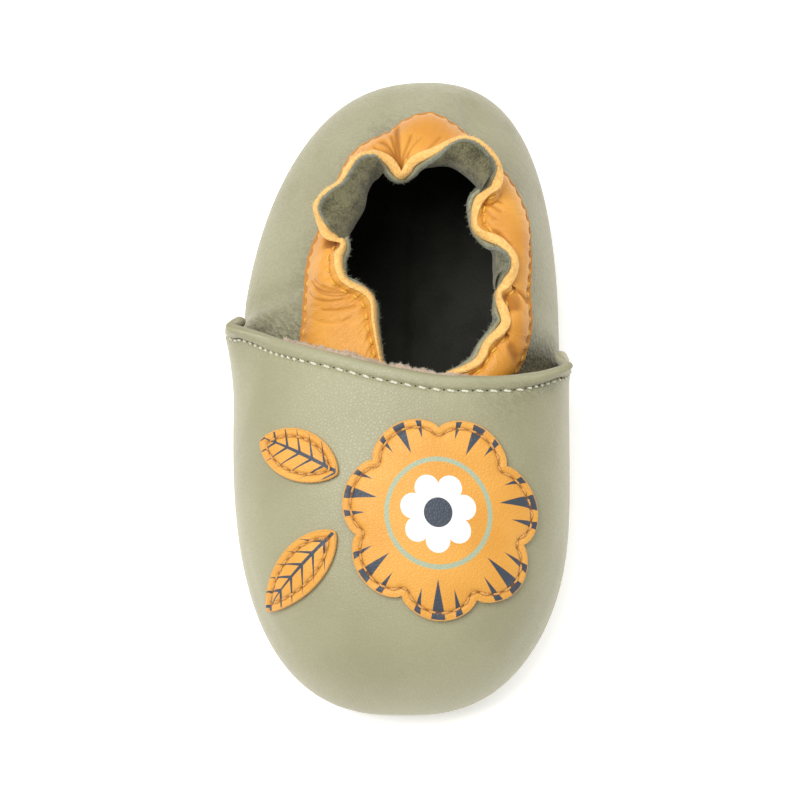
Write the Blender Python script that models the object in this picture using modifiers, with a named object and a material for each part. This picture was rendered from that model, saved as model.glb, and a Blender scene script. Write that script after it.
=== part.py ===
"""Soft-soled baby slipper for the right foot, built panel by panel as it is cut and sewn.

The slipper stands on the floor with its toe towards -Y, its heel towards +Y and its inner (medial)
side towards +X. Sizes are millimetres in the tables and become metres where a mesh is made.
Turns and bearings are degrees seen from above: 0 at the toe, 90 medial, 180 heel, 270 lateral.
"""

import math
from collections import namedtuple

import bmesh
import bpy
import numpy as np

MM = 0.001
WELD_DISTANCE = 1e-6
TURN_STEP = 0.5
SURFACE_STEP = 1e-3
SEARCH_ROUNDS = 8
SEARCH_SIDES = (-0.95, 0.95, 77)
SEARCH_RISES = (0.35, 0.98, 43)

# The frame starts on the floor under the middle of the slipper.
FRAME_ORIGIN = np.array([-0.41, 1.63, 0.0])

# Driving dimensions of the last, the form that the foot fills.
FRONT_LENGTH = 53.1
REAR_LENGTH = 65.4
BALL_WIDTH = 57.8
TOE_SQUARENESS = 2.65
HEEL_SQUARENESS = 2.5
TOE_SWING = 0.8
HEEL_SWING = 3.5
BIG_TOE_FULLNESS = 1.2
BIG_TOE_PLACE = -32.0
BIG_TOE_SPREAD = 18.0
LATERAL_FULLNESS = 1.6
FULLNESS_START = 18.0
BALL_CENTRE = np.array([0.0, -3.65])
TOE_GIRTH_HEIGHT = 11.0
HEEL_GIRTH_HEIGHT = 20.0
TUCK = 4.0
TUCK_START = math.radians(45)
GIRTH_SHARE = 0.28

# Leather and seams.
UPPER_THICKNESS = 1.2
SOLE_THICKNESS = 2.0
INSOLE_THICKNESS = 1.3
COLLAR_GAP = 0.5
APPLIQUE_GAP = 0.45
SEAM_HEIGHT = 3.5
SOLE_INSET = TUCK - 0.5
SOLE_EDGE_WIDTH = 5.0
SOLE_EDGE_RISE = 1.6
SOLE_MIDDLE_SHARE = 0.2
SOLE_RING_CROWDING = 1.5
SPINE_SHARE = 0.8
WAIST_INSET = 1.6
WAIST_PLACE = 12.0
WAIST_SPREAD = 20.0
INSOLE_INSET = TUCK + 3.0
INSOLE_HEIGHT = SOLE_THICKNESS + 0.7

# Heel quarter: a panel round the back half, drawn in at the neck where the collar is sewn on.
ANKLE_CENTRE = np.array([4.0, 15.35])
QUARTER_TURNS = (92.0, 268.0)
BEARING_STRETCH = 1.93
QUARTER_SHOULDER = 0.45
NECK_SHARE = 0.66
NECK_LEAN = math.radians(50)
NECK_HANDLE = 6.0
COLLAR_HANDLE = 5.0
QUARTER_TOP = 0.975
COLLAR_FLANGE = 0.03

# Vamp: the toe panel, laid over the quarter's front ends, with a free top edge.
VAMP_LATERAL_TURN = 118.0
VAMP_MEDIAL_TURN = 109.0
VAMP_SHOULDER = 0.66
VAMP_GAP = 0.5

# Sewn-on leather shapes: a round flower and two leaves.
APPLIQUE_THICKNESS = 1.0
FLOWER_CENTRE = (8.0, -30.0)
FLOWER_RADIUS = 17.0
FLOWER_PETALS = 7
PETAL_DEPTH = 0.13
PETAL_ROUNDNESS = 0.7
LEAF_LENGTH = 16.0
LEAF_WIDTH = 8.5
LEAF_POINT = 0.4

# Columns and rows of each sheet's grid.
SOLE_GRID = (56, 5)
INSOLE_GRID = (56, 1)
QUARTER_GRID = (72, 12)
COLLAR_GRID = (72, 5)
VAMP_GRID = (48, 12)
FLOWER_GRID = (12 * FLOWER_PETALS, 3)
LEAF_GRID = (32, 3)

# The neck, where the collar is sewn to the quarter, by bearing from the ankle.
NeckRow = namedtuple("NeckRow", "bearing reach height")
NECK_ROWS = [
    NeckRow(5, 26.0, 31.0),
    NeckRow(45, 22.6, 33.5),
    NeckRow(60, 21.2, 34.5),
    NeckRow(85, 18.2, 35.5),
    NeckRow(105, 18.6, 36.0),
    NeckRow(135, 21.4, 36.5),
    NeckRow(150, 23.0, 37.0),
    NeckRow(166, 26.8, 37.0),
    NeckRow(182, 30.6, 37.0),
    NeckRow(203, 27.2, 37.0),
    NeckRow(225, 22.0, 36.5),
    NeckRow(245, 19.4, 36.0),
    NeckRow(272, 19.2, 35.0),
    NeckRow(290, 20.6, 34.0),
    NeckRow(305, 23.4, 33.0),
    NeckRow(356, 27.0, 30.5),
]

# The gathered rim of the collar: rows of lobes that stand up and of valleys that lie in.
RimRow = namedtuple("RimRow", "bearing reach height lean")
RIM_ROWS = [
    RimRow(5, 20.0, 36.0, 30),
    RimRow(30, 18.6, 38.0, 45),
    RimRow(46, 18.8, 39.6, 65),
    RimRow(63, 15.3, 39.6, 25),
    RimRow(82, 16.8, 42.8, 70),
    RimRow(100, 14.2, 42.0, 40),
    RimRow(117, 10.9, 40.5, 12),
    RimRow(129, 11.9, 41.5, 18),
    RimRow(139, 19.8, 44.5, 65),
    RimRow(148, 24.0, 46.5, 85),
    RimRow(160, 25.0, 47.0, 85),
    RimRow(170, 22.4, 46.0, 70),
    RimRow(179, 19.0, 44.0, 40),
    RimRow(187, 17.0, 42.4, 22),
    RimRow(195, 17.2, 42.6, 22),
    RimRow(203, 21.4, 45.2, 65),
    RimRow(210, 22.5, 46.5, 85),
    RimRow(222, 21.0, 46.0, 85),
    RimRow(234, 21.6, 46.5, 85),
    RimRow(246, 17.8, 44.5, 60),
    RimRow(257, 12.8, 42.4, 25),
    RimRow(275, 12.0, 42.4, 30),
    RimRow(290, 11.2, 41.6, 30),
    RimRow(312, 10.4, 40.0, 25),
    RimRow(335, 12.6, 38.5, 30),
    RimRow(356, 18.0, 36.0, 30),
]

# Vamp sections from the lateral hem (side -1) over the toe (0) to the medial hem (+1):
# where each one ends at the top edge, and the handle that leads it there.
VampRow = namedtuple("VampRow", "side x y z handle_x handle_y handle_z")
VAMP_ROWS = [
    VampRow(-1.0, -28.8, 6.6, 35.6, 0.4, 3.2, -6.0),
    VampRow(-0.82, -23.6, 2.9, 38.6, -3.5, 1.0, -6.0),
    VampRow(-0.5, -10.5, -1.5, 40.9, -9.5, -13.0, -5.0),
    VampRow(0.0, 0.0, -4.4, 42.2, 0.0, -25.0, -6.0),
    VampRow(0.5, 10.5, -5.8, 41.6, 9.5, -13.0, -5.0),
    VampRow(0.82, 24.0, -4.5, 39.0, 3.5, 0.0, -6.0),
    VampRow(1.0, 30.0, -0.8, 35.4, -0.4, 3.0, -5.5),
]

LeafRow = namedtuple("LeafRow", "name x y heading")
LEAF_ROWS = [
    LeafRow("applique_leaf_front", -16.0, -37.8, 310.0),
    LeafRow("applique_leaf_back", -16.5, -19.0, 240.0),
]

Finish = namedtuple("Finish", "colour roughness")
FINISHES = {
    "sage_leather": Finish((0.39, 0.37, 0.25), 0.5),
    "mustard_leather": Finish((0.72, 0.33, 0.06), 0.5),
    "orange_leather": Finish((0.80, 0.36, 0.07), 0.5),
    "dark_insole": Finish((0.02, 0.02, 0.017), 0.7),
    "sole_suede": Finish((0.33, 0.29, 0.21), 0.9),
}


def through(rows, key, column, at):
    """Value of a table's column at the given keys: a smooth curve through the rows, with no overshoot."""
    keys = np.array([getattr(row, key) for row in rows], float)
    values = np.array([getattr(row, column) for row in rows], float)
    steps = np.diff(keys)
    slopes = np.diff(values) / steps
    tangents = np.concatenate([slopes[:1], np.zeros(len(keys) - 2), slopes[-1:]])
    before, after = slopes[:-1], slopes[1:]
    same_way = before * after > 0
    tangents[1:-1][same_way] = (2 * before * after)[same_way] / (before + after)[same_way]
    at = np.clip(at, keys[0], keys[-1])
    i = np.clip(np.searchsorted(keys, at) - 1, 0, len(steps) - 1)
    s = (at - keys[i]) / steps[i]
    start = (1 + 2 * s) * (1 - s) ** 2 * values[i] + s * (1 - s) ** 2 * steps[i] * tangents[i]
    end = s**2 * (3 - 2 * s) * values[i + 1] + s**2 * (s - 1) * steps[i] * tangents[i + 1]
    return start + end


def smooth(value):
    """A soft step from 0 to 1."""
    value = np.clip(value, 0.0, 1.0)
    return value * value * (3 - 2 * value)


def girth_line(turn):
    """The last's widest outline, seen from above: fuller at the big toe and behind the ball's outer side."""
    across, along = np.sin(np.radians(turn)), np.cos(np.radians(turn))
    half = BALL_WIDTH / 2
    length = np.where(along > 0, FRONT_LENGTH, REAR_LENGTH)
    squareness = np.where(along > 0, TOE_SQUARENESS, HEEL_SQUARENESS)
    spread = (np.abs(across) / half) ** squareness + (np.abs(along) / length) ** squareness
    reach = spread ** (-1 / squareness)
    x, y = reach * across, -reach * along
    big_toe = BIG_TOE_FULLNESS * np.exp(-(((y - BIG_TOE_PLACE) / BIG_TOE_SPREAD) ** 2))
    lateral = LATERAL_FULLNESS * smooth(y / FULLNESS_START)
    swing = np.where(along > 0, TOE_SWING, HEEL_SWING) * (y / length) ** 2
    wide = x + swing + big_toe * np.clip(x / half, 0, 1) - lateral * np.clip(-x / half, 0, 1)
    return np.stack([wide, y], -1) + BALL_CENTRE


def outline(turn, outward):
    """The widest outline moved outward, square to itself."""
    turn = np.asarray(turn, float)
    tangent = girth_line(turn + TURN_STEP) - girth_line(turn - TURN_STEP)
    normal = np.stack([tangent[..., 1], -tangent[..., 0]], -1)
    normal /= np.linalg.norm(normal, axis=-1, keepdims=True)
    return girth_line(turn) + normal * np.asarray(outward, float)[..., None]


def girth_height(turn):
    """Height of the widest outline, rising from the toe to the heel."""
    along = girth_line(turn)[..., 1] - BALL_CENTRE[1] + FRONT_LENGTH
    return TOE_GIRTH_HEIGHT + (HEEL_GIRTH_HEIGHT - TOE_GIRTH_HEIGHT) * along / (FRONT_LENGTH + REAR_LENGTH)


def bend(start, start_handle, end_handle, end, share):
    """A cubic curve between two points, shaped by the handles at its ends."""
    s = np.clip(share, 0, None)[..., None]
    first = start * (1 - s) ** 3 + 3 * (start + start_handle) * s * (1 - s) ** 2
    return first + 3 * (end + end_handle) * s**2 * (1 - s) + end * s**3


def with_height(plan, height):
    """Places in plan lifted to their heights."""
    return np.concatenate([plan, np.asarray(height)[..., None]], -1)


def tucked_wall(turn, share, outward):
    """The bottom of the upper: tucked in at the sole seam, swelling out to the girth."""
    swell = TUCK_START + (math.pi / 2 - TUCK_START) * np.clip(share, 0, 1)
    inset = TUCK * (1 - np.sin(swell)) / (1 - math.sin(TUCK_START))
    drop = (girth_height(turn) - SEAM_HEIGHT) * np.cos(swell) / math.cos(TUCK_START)
    return with_height(outline(turn, outward - inset), girth_height(turn) - drop)


def quarter_surface(turn, rise):
    """Outer face of the heel quarter and, above the neck, of the lining behind the collar."""
    bearing = 180 + BEARING_STRETCH * (turn - 180)
    away = np.stack([np.sin(np.radians(bearing)), -np.cos(np.radians(bearing))], -1)

    def ring(rows):
        reach = through(rows, "bearing", "reach", bearing)
        height = through(rows, "bearing", "height", bearing)
        return with_height(ANKLE_CENTRE + away * reach[..., None], height)

    neck, rim = ring(NECK_ROWS), ring(RIM_ROWS)
    girth = with_height(girth_line(turn), girth_height(turn))
    rise_handle = np.zeros_like(girth)
    rise_handle[..., 2] = QUARTER_SHOULDER * (neck - girth)[..., 2]
    outward = (girth - neck)[..., :2]
    outward /= np.linalg.norm(outward, axis=-1, keepdims=True)
    neck_slope = with_height(outward * math.cos(NECK_LEAN), np.full_like(turn, -math.sin(NECK_LEAN)))
    rim_lean = np.radians(through(RIM_ROWS, "bearing", "lean", bearing))
    rim_slope = with_height(away * np.cos(rim_lean)[..., None], -np.sin(rim_lean))
    side_share = (rise - GIRTH_SHARE) / (NECK_SHARE - GIRTH_SHARE)
    collar_share = (rise - NECK_SHARE) / (1 - NECK_SHARE)
    low = tucked_wall(turn, rise / GIRTH_SHARE, np.zeros_like(turn))
    side = bend(girth, rise_handle, NECK_HANDLE * neck_slope, neck, side_share)
    gathered = bend(neck, -COLLAR_HANDLE * neck_slope, COLLAR_HANDLE * rim_slope, rim, collar_share)
    point = np.where((rise < GIRTH_SHARE)[..., None], low, side)
    return np.where((rise > NECK_SHARE)[..., None], gathered, point)


def vamp_surface(side, rise):
    """Inner face of the vamp. Side runs from -1, the lateral hem, to +1, the medial hem."""
    turn = np.where(side < 0, VAMP_LATERAL_TURN, VAMP_MEDIAL_TURN) * side
    top = np.stack([through(VAMP_ROWS, "side", axis, side) for axis in ("x", "y", "z")], -1)
    handle = np.stack([through(VAMP_ROWS, "side", "handle_" + axis, side) for axis in ("x", "y", "z")], -1)
    girth = with_height(outline(turn, VAMP_GAP), girth_height(turn))
    rise_handle = np.zeros_like(girth)
    rise_handle[..., 2] = VAMP_SHOULDER * (top - girth)[..., 2]
    low = tucked_wall(turn, rise / GIRTH_SHARE, VAMP_GAP)
    over = bend(girth, rise_handle, handle, top, (rise - GIRTH_SHARE) / (1 - GIRTH_SHARE))
    return np.where((rise < GIRTH_SHARE)[..., None], low, over)


def raised(surface, first, second, lift):
    """A surface moved outward along its own normals."""
    step = SURFACE_STEP
    along_first = surface(first + step, second) - surface(first - step, second)
    along_second = surface(first, second + step) - surface(first, second - step)
    normal = np.cross(along_first, along_second)
    normal /= np.linalg.norm(normal, axis=-1, keepdims=True)
    return surface(first, second) + normal * lift


def on_vamp(plan, lift):
    """Points of the vamp's outer face above places in plan, raised by a lift."""

    def place(side, rise):
        return raised(vamp_surface, side, rise, UPPER_THICKNESS + lift)

    side, rise = np.meshgrid(np.linspace(*SEARCH_SIDES), np.linspace(*SEARCH_RISES), indexing="ij")
    near = place(side.ravel(), rise.ravel())[:, :2]
    nearest = np.argmin(np.linalg.norm(near - plan[:, None], axis=-1), axis=1)
    side, rise = side.ravel()[nearest], rise.ravel()[nearest]
    for _ in range(SEARCH_ROUNDS):
        here = place(side, rise)[:, :2]
        by_side = (place(side + SURFACE_STEP, rise)[:, :2] - here) / SURFACE_STEP
        by_rise = (place(side, rise + SURFACE_STEP)[:, :2] - here) / SURFACE_STEP
        moves = np.linalg.solve(np.stack([by_side, by_rise], -1), (plan - here)[..., None])[..., 0]
        side, rise = side + moves[:, 0], rise + moves[:, 1]
    return place(side, rise)


def finish(name):
    """A Principled material from the finishes above."""
    material = bpy.data.materials.get(name)
    if material is None:
        material = bpy.data.materials.new(name)
        material.use_nodes = True
        shader = material.node_tree.nodes["Principled BSDF"]
        shader.inputs["Base Color"].default_value = (*FINISHES[name].colour, 1)
        shader.inputs["Roughness"].default_value = FINISHES[name].roughness
        shader.inputs["Metallic"].default_value = 0.0
    return material


def leather_sheet(collection, name, grid, point_at, thickness, grows, finish_name):
    """A sheet of leather: a grid bent by point_at(u, v), given its thickness by Solidify.

    It grows to the side that its faces point to when grows is 1, and to the other when it is -1.
    """
    cells = bmesh.new()
    bmesh.ops.create_grid(cells, x_segments=grid[0], y_segments=grid[1], size=0.5)
    flat = np.array([vertex.co for vertex in cells.verts])
    bent = (point_at(flat[:, 0] + 0.5, flat[:, 1] + 0.5) - FRAME_ORIGIN) * MM
    for vertex, place in zip(cells.verts, bent):
        vertex.co = place
    bmesh.ops.remove_doubles(cells, verts=cells.verts, dist=WELD_DISTANCE)
    mesh = bpy.data.meshes.new(name)
    cells.to_mesh(mesh)
    cells.free()
    mesh.shade_smooth()
    mesh.materials.append(finish(finish_name))
    piece = bpy.data.objects.new(name, mesh)
    collection.objects.link(piece)
    solidify = piece.modifiers.new("leather thickness", "SOLIDIFY")
    solidify.thickness = thickness * MM
    solidify.offset = grows
    solidify.use_even_offset = True
    solidify.use_quality_normals = True
    return piece


def sole_outline(turn, inset):
    """The outline moved inward, and drawn in at the waist on the medial side."""
    edge = outline(turn, -inset)
    waist = WAIST_INSET * np.exp(-(((edge[..., 1] - WAIST_PLACE) / WAIST_SPREAD) ** 2))
    edge[..., 0] -= waist * np.clip(edge[..., 0] / (BALL_WIDTH / 2), 0, 1)
    return edge


def sole_spine(turn):
    """The middle line where the two halves of a sole's grid meet."""
    return girth_line(turn) * (0, SPINE_SHARE)


def add_sole(collection):
    """Outsole: flat suede, drawn in at the waist, with its edge turned up to the seam."""

    def point_at(around, out):
        turn = 360 * around
        inset = SOLE_EDGE_WIDTH * ((1 - out) / (1 - SOLE_MIDDLE_SHARE)) ** SOLE_RING_CROWDING
        edge = sole_outline(turn, SOLE_INSET + np.clip(inset, 0, SOLE_EDGE_WIDTH))
        edge[out == 0] = sole_spine(turn[out == 0])
        height = SOLE_EDGE_RISE * np.clip(1 - inset / SOLE_EDGE_WIDTH, 0, 1) ** 2
        return with_height(edge, height)

    leather_sheet(collection, "outsole", SOLE_GRID, point_at, SOLE_THICKNESS, -1, "sole_suede")


def add_insole(collection):
    """Insole: a flat dark leather footbed inside the seam."""

    def point_at(around, out):
        turn = 360 * around
        edge = sole_outline(turn, np.full_like(turn, INSOLE_INSET))
        edge[out == 0] = sole_spine(turn[out == 0])
        return with_height(edge, np.full_like(around, INSOLE_HEIGHT))

    leather_sheet(collection, "insole", INSOLE_GRID, point_at, INSOLE_THICKNESS, -1, "dark_insole")


def quarter_turn(around):
    """Turns from the quarter's medial front end, round the heel, to its lateral one."""
    return QUARTER_TURNS[0] + (QUARTER_TURNS[1] - QUARTER_TURNS[0]) * around


def add_quarter(collection):
    """Heel quarter: one wall round the heel, its front ends hidden under the vamp."""

    def point_at(around, up):
        return quarter_surface(quarter_turn(around), up * QUARTER_TOP)

    leather_sheet(collection, "upper_quarter", QUARTER_GRID, point_at, UPPER_THICKNESS, -1, "sage_leather")


def add_collar(collection):
    """Collar: a gathered band of leather, sewn round the outside of the quarter's rim."""

    def point_at(around, up):
        low = NECK_SHARE - COLLAR_FLANGE
        return raised(quarter_surface, quarter_turn(around), low + (1 - low) * up, COLLAR_GAP)

    leather_sheet(collection, "collar", COLLAR_GRID, point_at, UPPER_THICKNESS, 1, "mustard_leather")


def add_vamp(collection):
    """Vamp: the toe panel, standing off the quarter along its free hem."""

    def point_at(across, up):
        return vamp_surface(2 * across - 1, up)

    leather_sheet(collection, "upper_vamp", VAMP_GRID, point_at, UPPER_THICKNESS, 1, "sage_leather")


def add_applique(collection, name, grid, centre, edge_at):
    """A leather shape sewn on the vamp. edge_at gives its outline round its own centre."""

    def point_at(around, out):
        return on_vamp(np.asarray(centre) + edge_at(around) * out[:, None], APPLIQUE_GAP)

    leather_sheet(collection, name, grid, point_at, APPLIQUE_THICKNESS, -1, "orange_leather")


def flower_edge(around):
    """A round flower with scalloped petals."""
    turn = 2 * math.pi * around
    swell = np.abs(np.cos(FLOWER_PETALS * turn / 2)) ** PETAL_ROUNDNESS
    reach = FLOWER_RADIUS * (1 - PETAL_DEPTH + PETAL_DEPTH * swell)
    return np.stack([np.sin(turn) * reach, -np.cos(turn) * reach], -1)


def leaf_edge(heading):
    """A pointed leaf lying along a heading."""
    ahead = np.array([math.sin(math.radians(heading)), -math.cos(math.radians(heading))])
    beside = np.array([-ahead[1], ahead[0]])

    def edge_at(around):
        turn = 2 * math.pi * around
        along = np.cos(turn) * LEAF_LENGTH / 2
        across = np.sin(turn) * np.abs(np.sin(turn)) ** LEAF_POINT * LEAF_WIDTH / 2
        return along[:, None] * ahead + across[:, None] * beside

    return edge_at


def main():
    for leftover in list(bpy.data.objects):
        bpy.data.objects.remove(leftover)
    collection = bpy.data.collections.new("baby_slipper")
    bpy.context.scene.collection.children.link(collection)
    add_sole(collection)
    add_insole(collection)
    add_quarter(collection)
    add_collar(collection)
    add_vamp(collection)
    add_applique(collection, "applique_flower", FLOWER_GRID, FLOWER_CENTRE, flower_edge)
    for leaf in LEAF_ROWS:
        add_applique(collection, leaf.name, LEAF_GRID, (leaf.x, leaf.y), leaf_edge(leaf.heading))


main()
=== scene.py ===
"""Looks of the soft-soled baby slipper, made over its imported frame.

Shapes are worked out in millimetres and become metres where a mesh is made. The toe points to -Y and
the inner side of the foot to +X. Turns and bearings are degrees from above: 0 toe, 90 medial, 180 heel.
"""

import math
from collections import namedtuple

import bmesh
import bpy
import numpy as np
from mathutils import Matrix, Vector


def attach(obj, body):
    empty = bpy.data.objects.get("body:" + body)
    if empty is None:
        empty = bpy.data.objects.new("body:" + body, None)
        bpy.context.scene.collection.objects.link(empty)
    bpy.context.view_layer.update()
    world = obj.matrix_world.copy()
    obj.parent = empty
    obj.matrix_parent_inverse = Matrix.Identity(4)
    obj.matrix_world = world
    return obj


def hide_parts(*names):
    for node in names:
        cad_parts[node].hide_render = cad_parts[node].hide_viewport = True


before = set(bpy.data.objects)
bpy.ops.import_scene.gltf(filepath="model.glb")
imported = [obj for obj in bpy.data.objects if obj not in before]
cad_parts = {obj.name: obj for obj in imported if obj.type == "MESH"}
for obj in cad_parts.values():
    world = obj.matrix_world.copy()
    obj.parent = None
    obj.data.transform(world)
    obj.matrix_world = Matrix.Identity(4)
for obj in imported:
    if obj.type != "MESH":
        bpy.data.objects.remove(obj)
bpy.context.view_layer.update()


# Outsole.
# One piece of napped suede cut to the foot's outline and drawn in at the waist. It is sewn to the
# upper inside out and turned, so that its edge curls up to the hidden seam.

MM = 0.001
WELD_DISTANCE = 1e-6
NEAR_NOTHING = 1e-9
FRAME_ORIGIN = np.array([-0.41, 1.63, 0.0])
FRONT_LENGTH = 53.1
REAR_LENGTH = 65.4
BALL_WIDTH = 57.8
TOE_SQUARENESS = 2.65
HEEL_SQUARENESS = 2.5
TOE_SWING = 0.8
HEEL_SWING = 3.5
BIG_TOE_FULLNESS = 1.2
BIG_TOE_PLACE = -32.0
BIG_TOE_SPREAD = 18.0
LATERAL_FULLNESS = 1.6
FULLNESS_START = 18.0
BALL_CENTRE = np.array([0.0, -3.65])
TURN_STEP = 0.5
WAIST_INSET = 1.6
WAIST_PLACE = 12.0
WAIST_SPREAD = 20.0
SPINE_SHARE = 0.8
SPINE_STEPS = 8
SOLE_COLUMNS = 241
SOLE_INSETS = (0, 0.1, 0.25, 0.45, 0.7, 1.0, 1.5, 2.0, 2.7, 3.4, 4.2, 5.0, 6.0)
SUEDE_TONE = (0.30, 0.26, 0.19, 1)
SUEDE_DEEP = (0.20, 0.17, 0.12, 1)
SUEDE_NAP = 0.12

SoleCut = namedtuple("SoleCut", "inset middle half edge_rise edge_width")
OUTSOLE_CUT = SoleCut(inset=3.5, middle=1.0, half=1.0, edge_rise=1.6, edge_width=5.0)


def smooth(value):
    """A soft step from 0 to 1."""
    value = np.clip(value, 0.0, 1.0)
    return value * value * (3 - 2 * value)


def hump(distance, width):
    """1 in the middle, fading out on both sides."""
    return np.exp(-((distance / width) ** 2))


def unit(ways):
    """Directions brought to a length of 1."""
    return ways / np.maximum(np.linalg.norm(ways, axis=-1, keepdims=True), NEAR_NOTHING)


def girth_line(turn):
    """The last's widest outline from above: fuller at the big toe and behind the ball's outer side."""
    across, along = np.sin(np.radians(turn)), np.cos(np.radians(turn))
    half = BALL_WIDTH / 2
    length = np.where(along > 0, FRONT_LENGTH, REAR_LENGTH)
    power = np.where(along > 0, TOE_SQUARENESS, HEEL_SQUARENESS)
    reach = ((np.abs(across) / half) ** power + (np.abs(along) / length) ** power) ** (-1 / power)
    x, y = reach * across, -reach * along
    big_toe = BIG_TOE_FULLNESS * hump(y - BIG_TOE_PLACE, BIG_TOE_SPREAD) * np.clip(x / half, 0, 1)
    lateral = LATERAL_FULLNESS * smooth(y / FULLNESS_START) * np.clip(-x / half, 0, 1)
    swing = np.where(along > 0, TOE_SWING, HEEL_SWING) * (y / length) ** 2
    return np.stack([x + swing + big_toe - lateral, y], -1) + BALL_CENTRE


def outline(turn, outward):
    """The widest outline moved outward, square to itself."""
    turn = np.asarray(turn, float)
    tangent = girth_line(turn + TURN_STEP) - girth_line(turn - TURN_STEP)
    normal = unit(np.stack([tangent[..., 1], -tangent[..., 0]], -1))
    return girth_line(turn) + normal * np.asarray(outward, float)[..., None]


def sole_rings(insets):
    """Rings of a sole from its edge inwards, closing on a middle line."""
    turn = np.linspace(0, 360, SOLE_COLUMNS)
    rings = []
    for inset in insets:
        edge = outline(turn, np.full_like(turn, -inset))
        waist = WAIST_INSET * hump(edge[:, 1] - WAIST_PLACE, WAIST_SPREAD)
        edge[:, 0] -= waist * np.clip(edge[:, 0] / (BALL_WIDTH / 2), 0, 1)
        rings.append(edge)
    spine = girth_line(turn) * (0, SPINE_SHARE)
    inmost = rings[-1]
    for step in range(1, SPINE_STEPS + 1):
        rings.append(inmost + (spine - inmost) * step / SPINE_STEPS)
    return np.stack(rings)


def round_edge(distance, radius):
    """0 at a cut or folded edge, rising on a quarter circle to 1."""
    return np.sqrt(1 - (1 - np.clip(distance / radius, 0, 1)) ** 2)


def with_height(plan, height):
    """Places in plan lifted to their heights."""
    return np.concatenate([plan, np.broadcast_to(height, plan.shape[:-1])[..., None]], -1)


def make_piece(name, points, faces, worn, materials, fields):
    """A smooth mesh from points in millimetres. Fields are numbers kept at each point."""
    mesh = bpy.data.meshes.new(name)
    mesh.from_pydata(((points - FRAME_ORIGIN) * MM).tolist(), [], faces.tolist())
    mesh.polygons.foreach_set("material_index", np.broadcast_to(worn, len(faces)).astype(np.int32))
    for field, values in fields.items():
        mesh.attributes.new(field, "FLOAT", "POINT").data.foreach_set("value", values.astype(np.float32))
    cells = bmesh.new()
    cells.from_mesh(mesh)
    bmesh.ops.remove_doubles(cells, verts=cells.verts, dist=WELD_DISTANCE)
    bmesh.ops.recalc_face_normals(cells, faces=cells.faces)
    cells.to_mesh(mesh)
    cells.free()
    mesh.shade_smooth()
    for material in materials:
        mesh.materials.append(material)
    piece = bpy.data.objects.new(name, mesh)
    bpy.context.scene.collection.objects.link(piece)
    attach(piece, "root")
    return piece


def sheet_piece(name, outer, inner, materials, fields, wrap=False):
    """A closed sheet: a grid of outer points, one of inner points, and the cut edges between them.

    Outer faces wear the first material, inner faces and cut edges the last.
    """
    rows, columns = outer.shape[:2]
    count = rows * columns
    at = np.arange(count).reshape(rows, columns)
    outside = np.stack([at[:-1, :-1], at[:-1, 1:], at[1:, 1:], at[1:, :-1]], -1).reshape(-1, 4)
    edges = [at[0], at[-1]] if wrap else [at[0], at[-1], at[:, 0], at[:, -1]]
    rims = [np.stack([edge[:-1], edge[1:], edge[1:] + count, edge[:-1] + count], -1) for edge in edges]
    faces = np.concatenate([outside, outside + count, *rims])
    worn = np.where(np.arange(len(faces)) < len(outside), 0, len(materials) - 1)
    points = np.concatenate([outer.reshape(-1, 3), inner.reshape(-1, 3)])
    doubled = {field: np.tile(values.ravel(), 2) for field, values in fields.items()}
    return make_piece(name, points, faces, worn, materials, doubled)


class Dye:
    """A value, colour or direction in a material's nodes. Sums written with it add their nodes."""

    def __init__(self, tree, socket=None):
        self.tree = tree
        self.socket = socket

    def add(self, kind, settings=(), inputs=(), out=0):
        """Any node: its type, its settings, then the values or links of its sockets."""
        node = self.tree.nodes.new("ShaderNode" + kind)
        for name, value in dict(settings).items():
            setattr(node, name, value)
        for name, value in dict(inputs).items():
            if isinstance(value, Dye):
                self.tree.links.new(value.socket, node.inputs[name])
            else:
                node.inputs[name].default_value = value
        return Dye(self.tree, node.outputs[out])

    def maths(self, operation, *values):
        """A Math node."""
        return self.add("Math", {"operation": operation}, enumerate(values))

    def __add__(self, other):
        return self.maths("ADD", self, other)

    def __sub__(self, other):
        return self.maths("SUBTRACT", self, other)

    def __rsub__(self, other):
        return self.maths("SUBTRACT", other, self)

    def __mul__(self, other):
        return self.maths("MULTIPLY", self, other)

    def __truediv__(self, other):
        return self.maths("DIVIDE", self, other)

    def __pow__(self, other):
        return self.maths("POWER", self, other)

    def __abs__(self):
        return self.maths("ABSOLUTE", self)

    __radd__ = __add__
    __rmul__ = __mul__

    def step(self, low, high):
        """A soft step: 0 at low and 1 at high."""
        return self.add("MapRange", {"interpolation_type": "SMOOTHSTEP"}, {0: self, 1: low, 2: high})

    def mix(self, first, second):
        """From one colour to another as this value goes from 0 to 1."""
        settings = {"data_type": "RGBA"}
        return self.add("Mix", settings, {"Factor": self, 6: first, 7: second}, out=2)

    def noise(self, scale, detail=3.0, roughness=0.5):
        """Clouds about 1/scale millimetres across, read at this place."""
        inputs = {"Vector": self, "Scale": scale, "Detail": detail, "Roughness": roughness}
        return self.add("TexNoise", {}, inputs)

    def field(self, name):
        """A number kept at the mesh's points."""
        return self.add("Attribute", {"attribute_name": name}, out="Fac")


def new_finish(name, constants):
    """A material, the place on the surface in millimetres, and its shader's sockets."""
    material = bpy.data.materials.new(name)
    material.use_nodes = True
    shader = material.node_tree.nodes["Principled BSDF"]
    for socket, value in constants.items():
        shader.inputs[socket].default_value = value
    start = Dye(material.node_tree)
    place = start.add("TexCoord", out="Object")
    place = place.add("VectorMath", {"operation": "SCALE"}, {0: place, "Scale": 1 / MM})
    return material, place, shader.inputs


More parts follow.
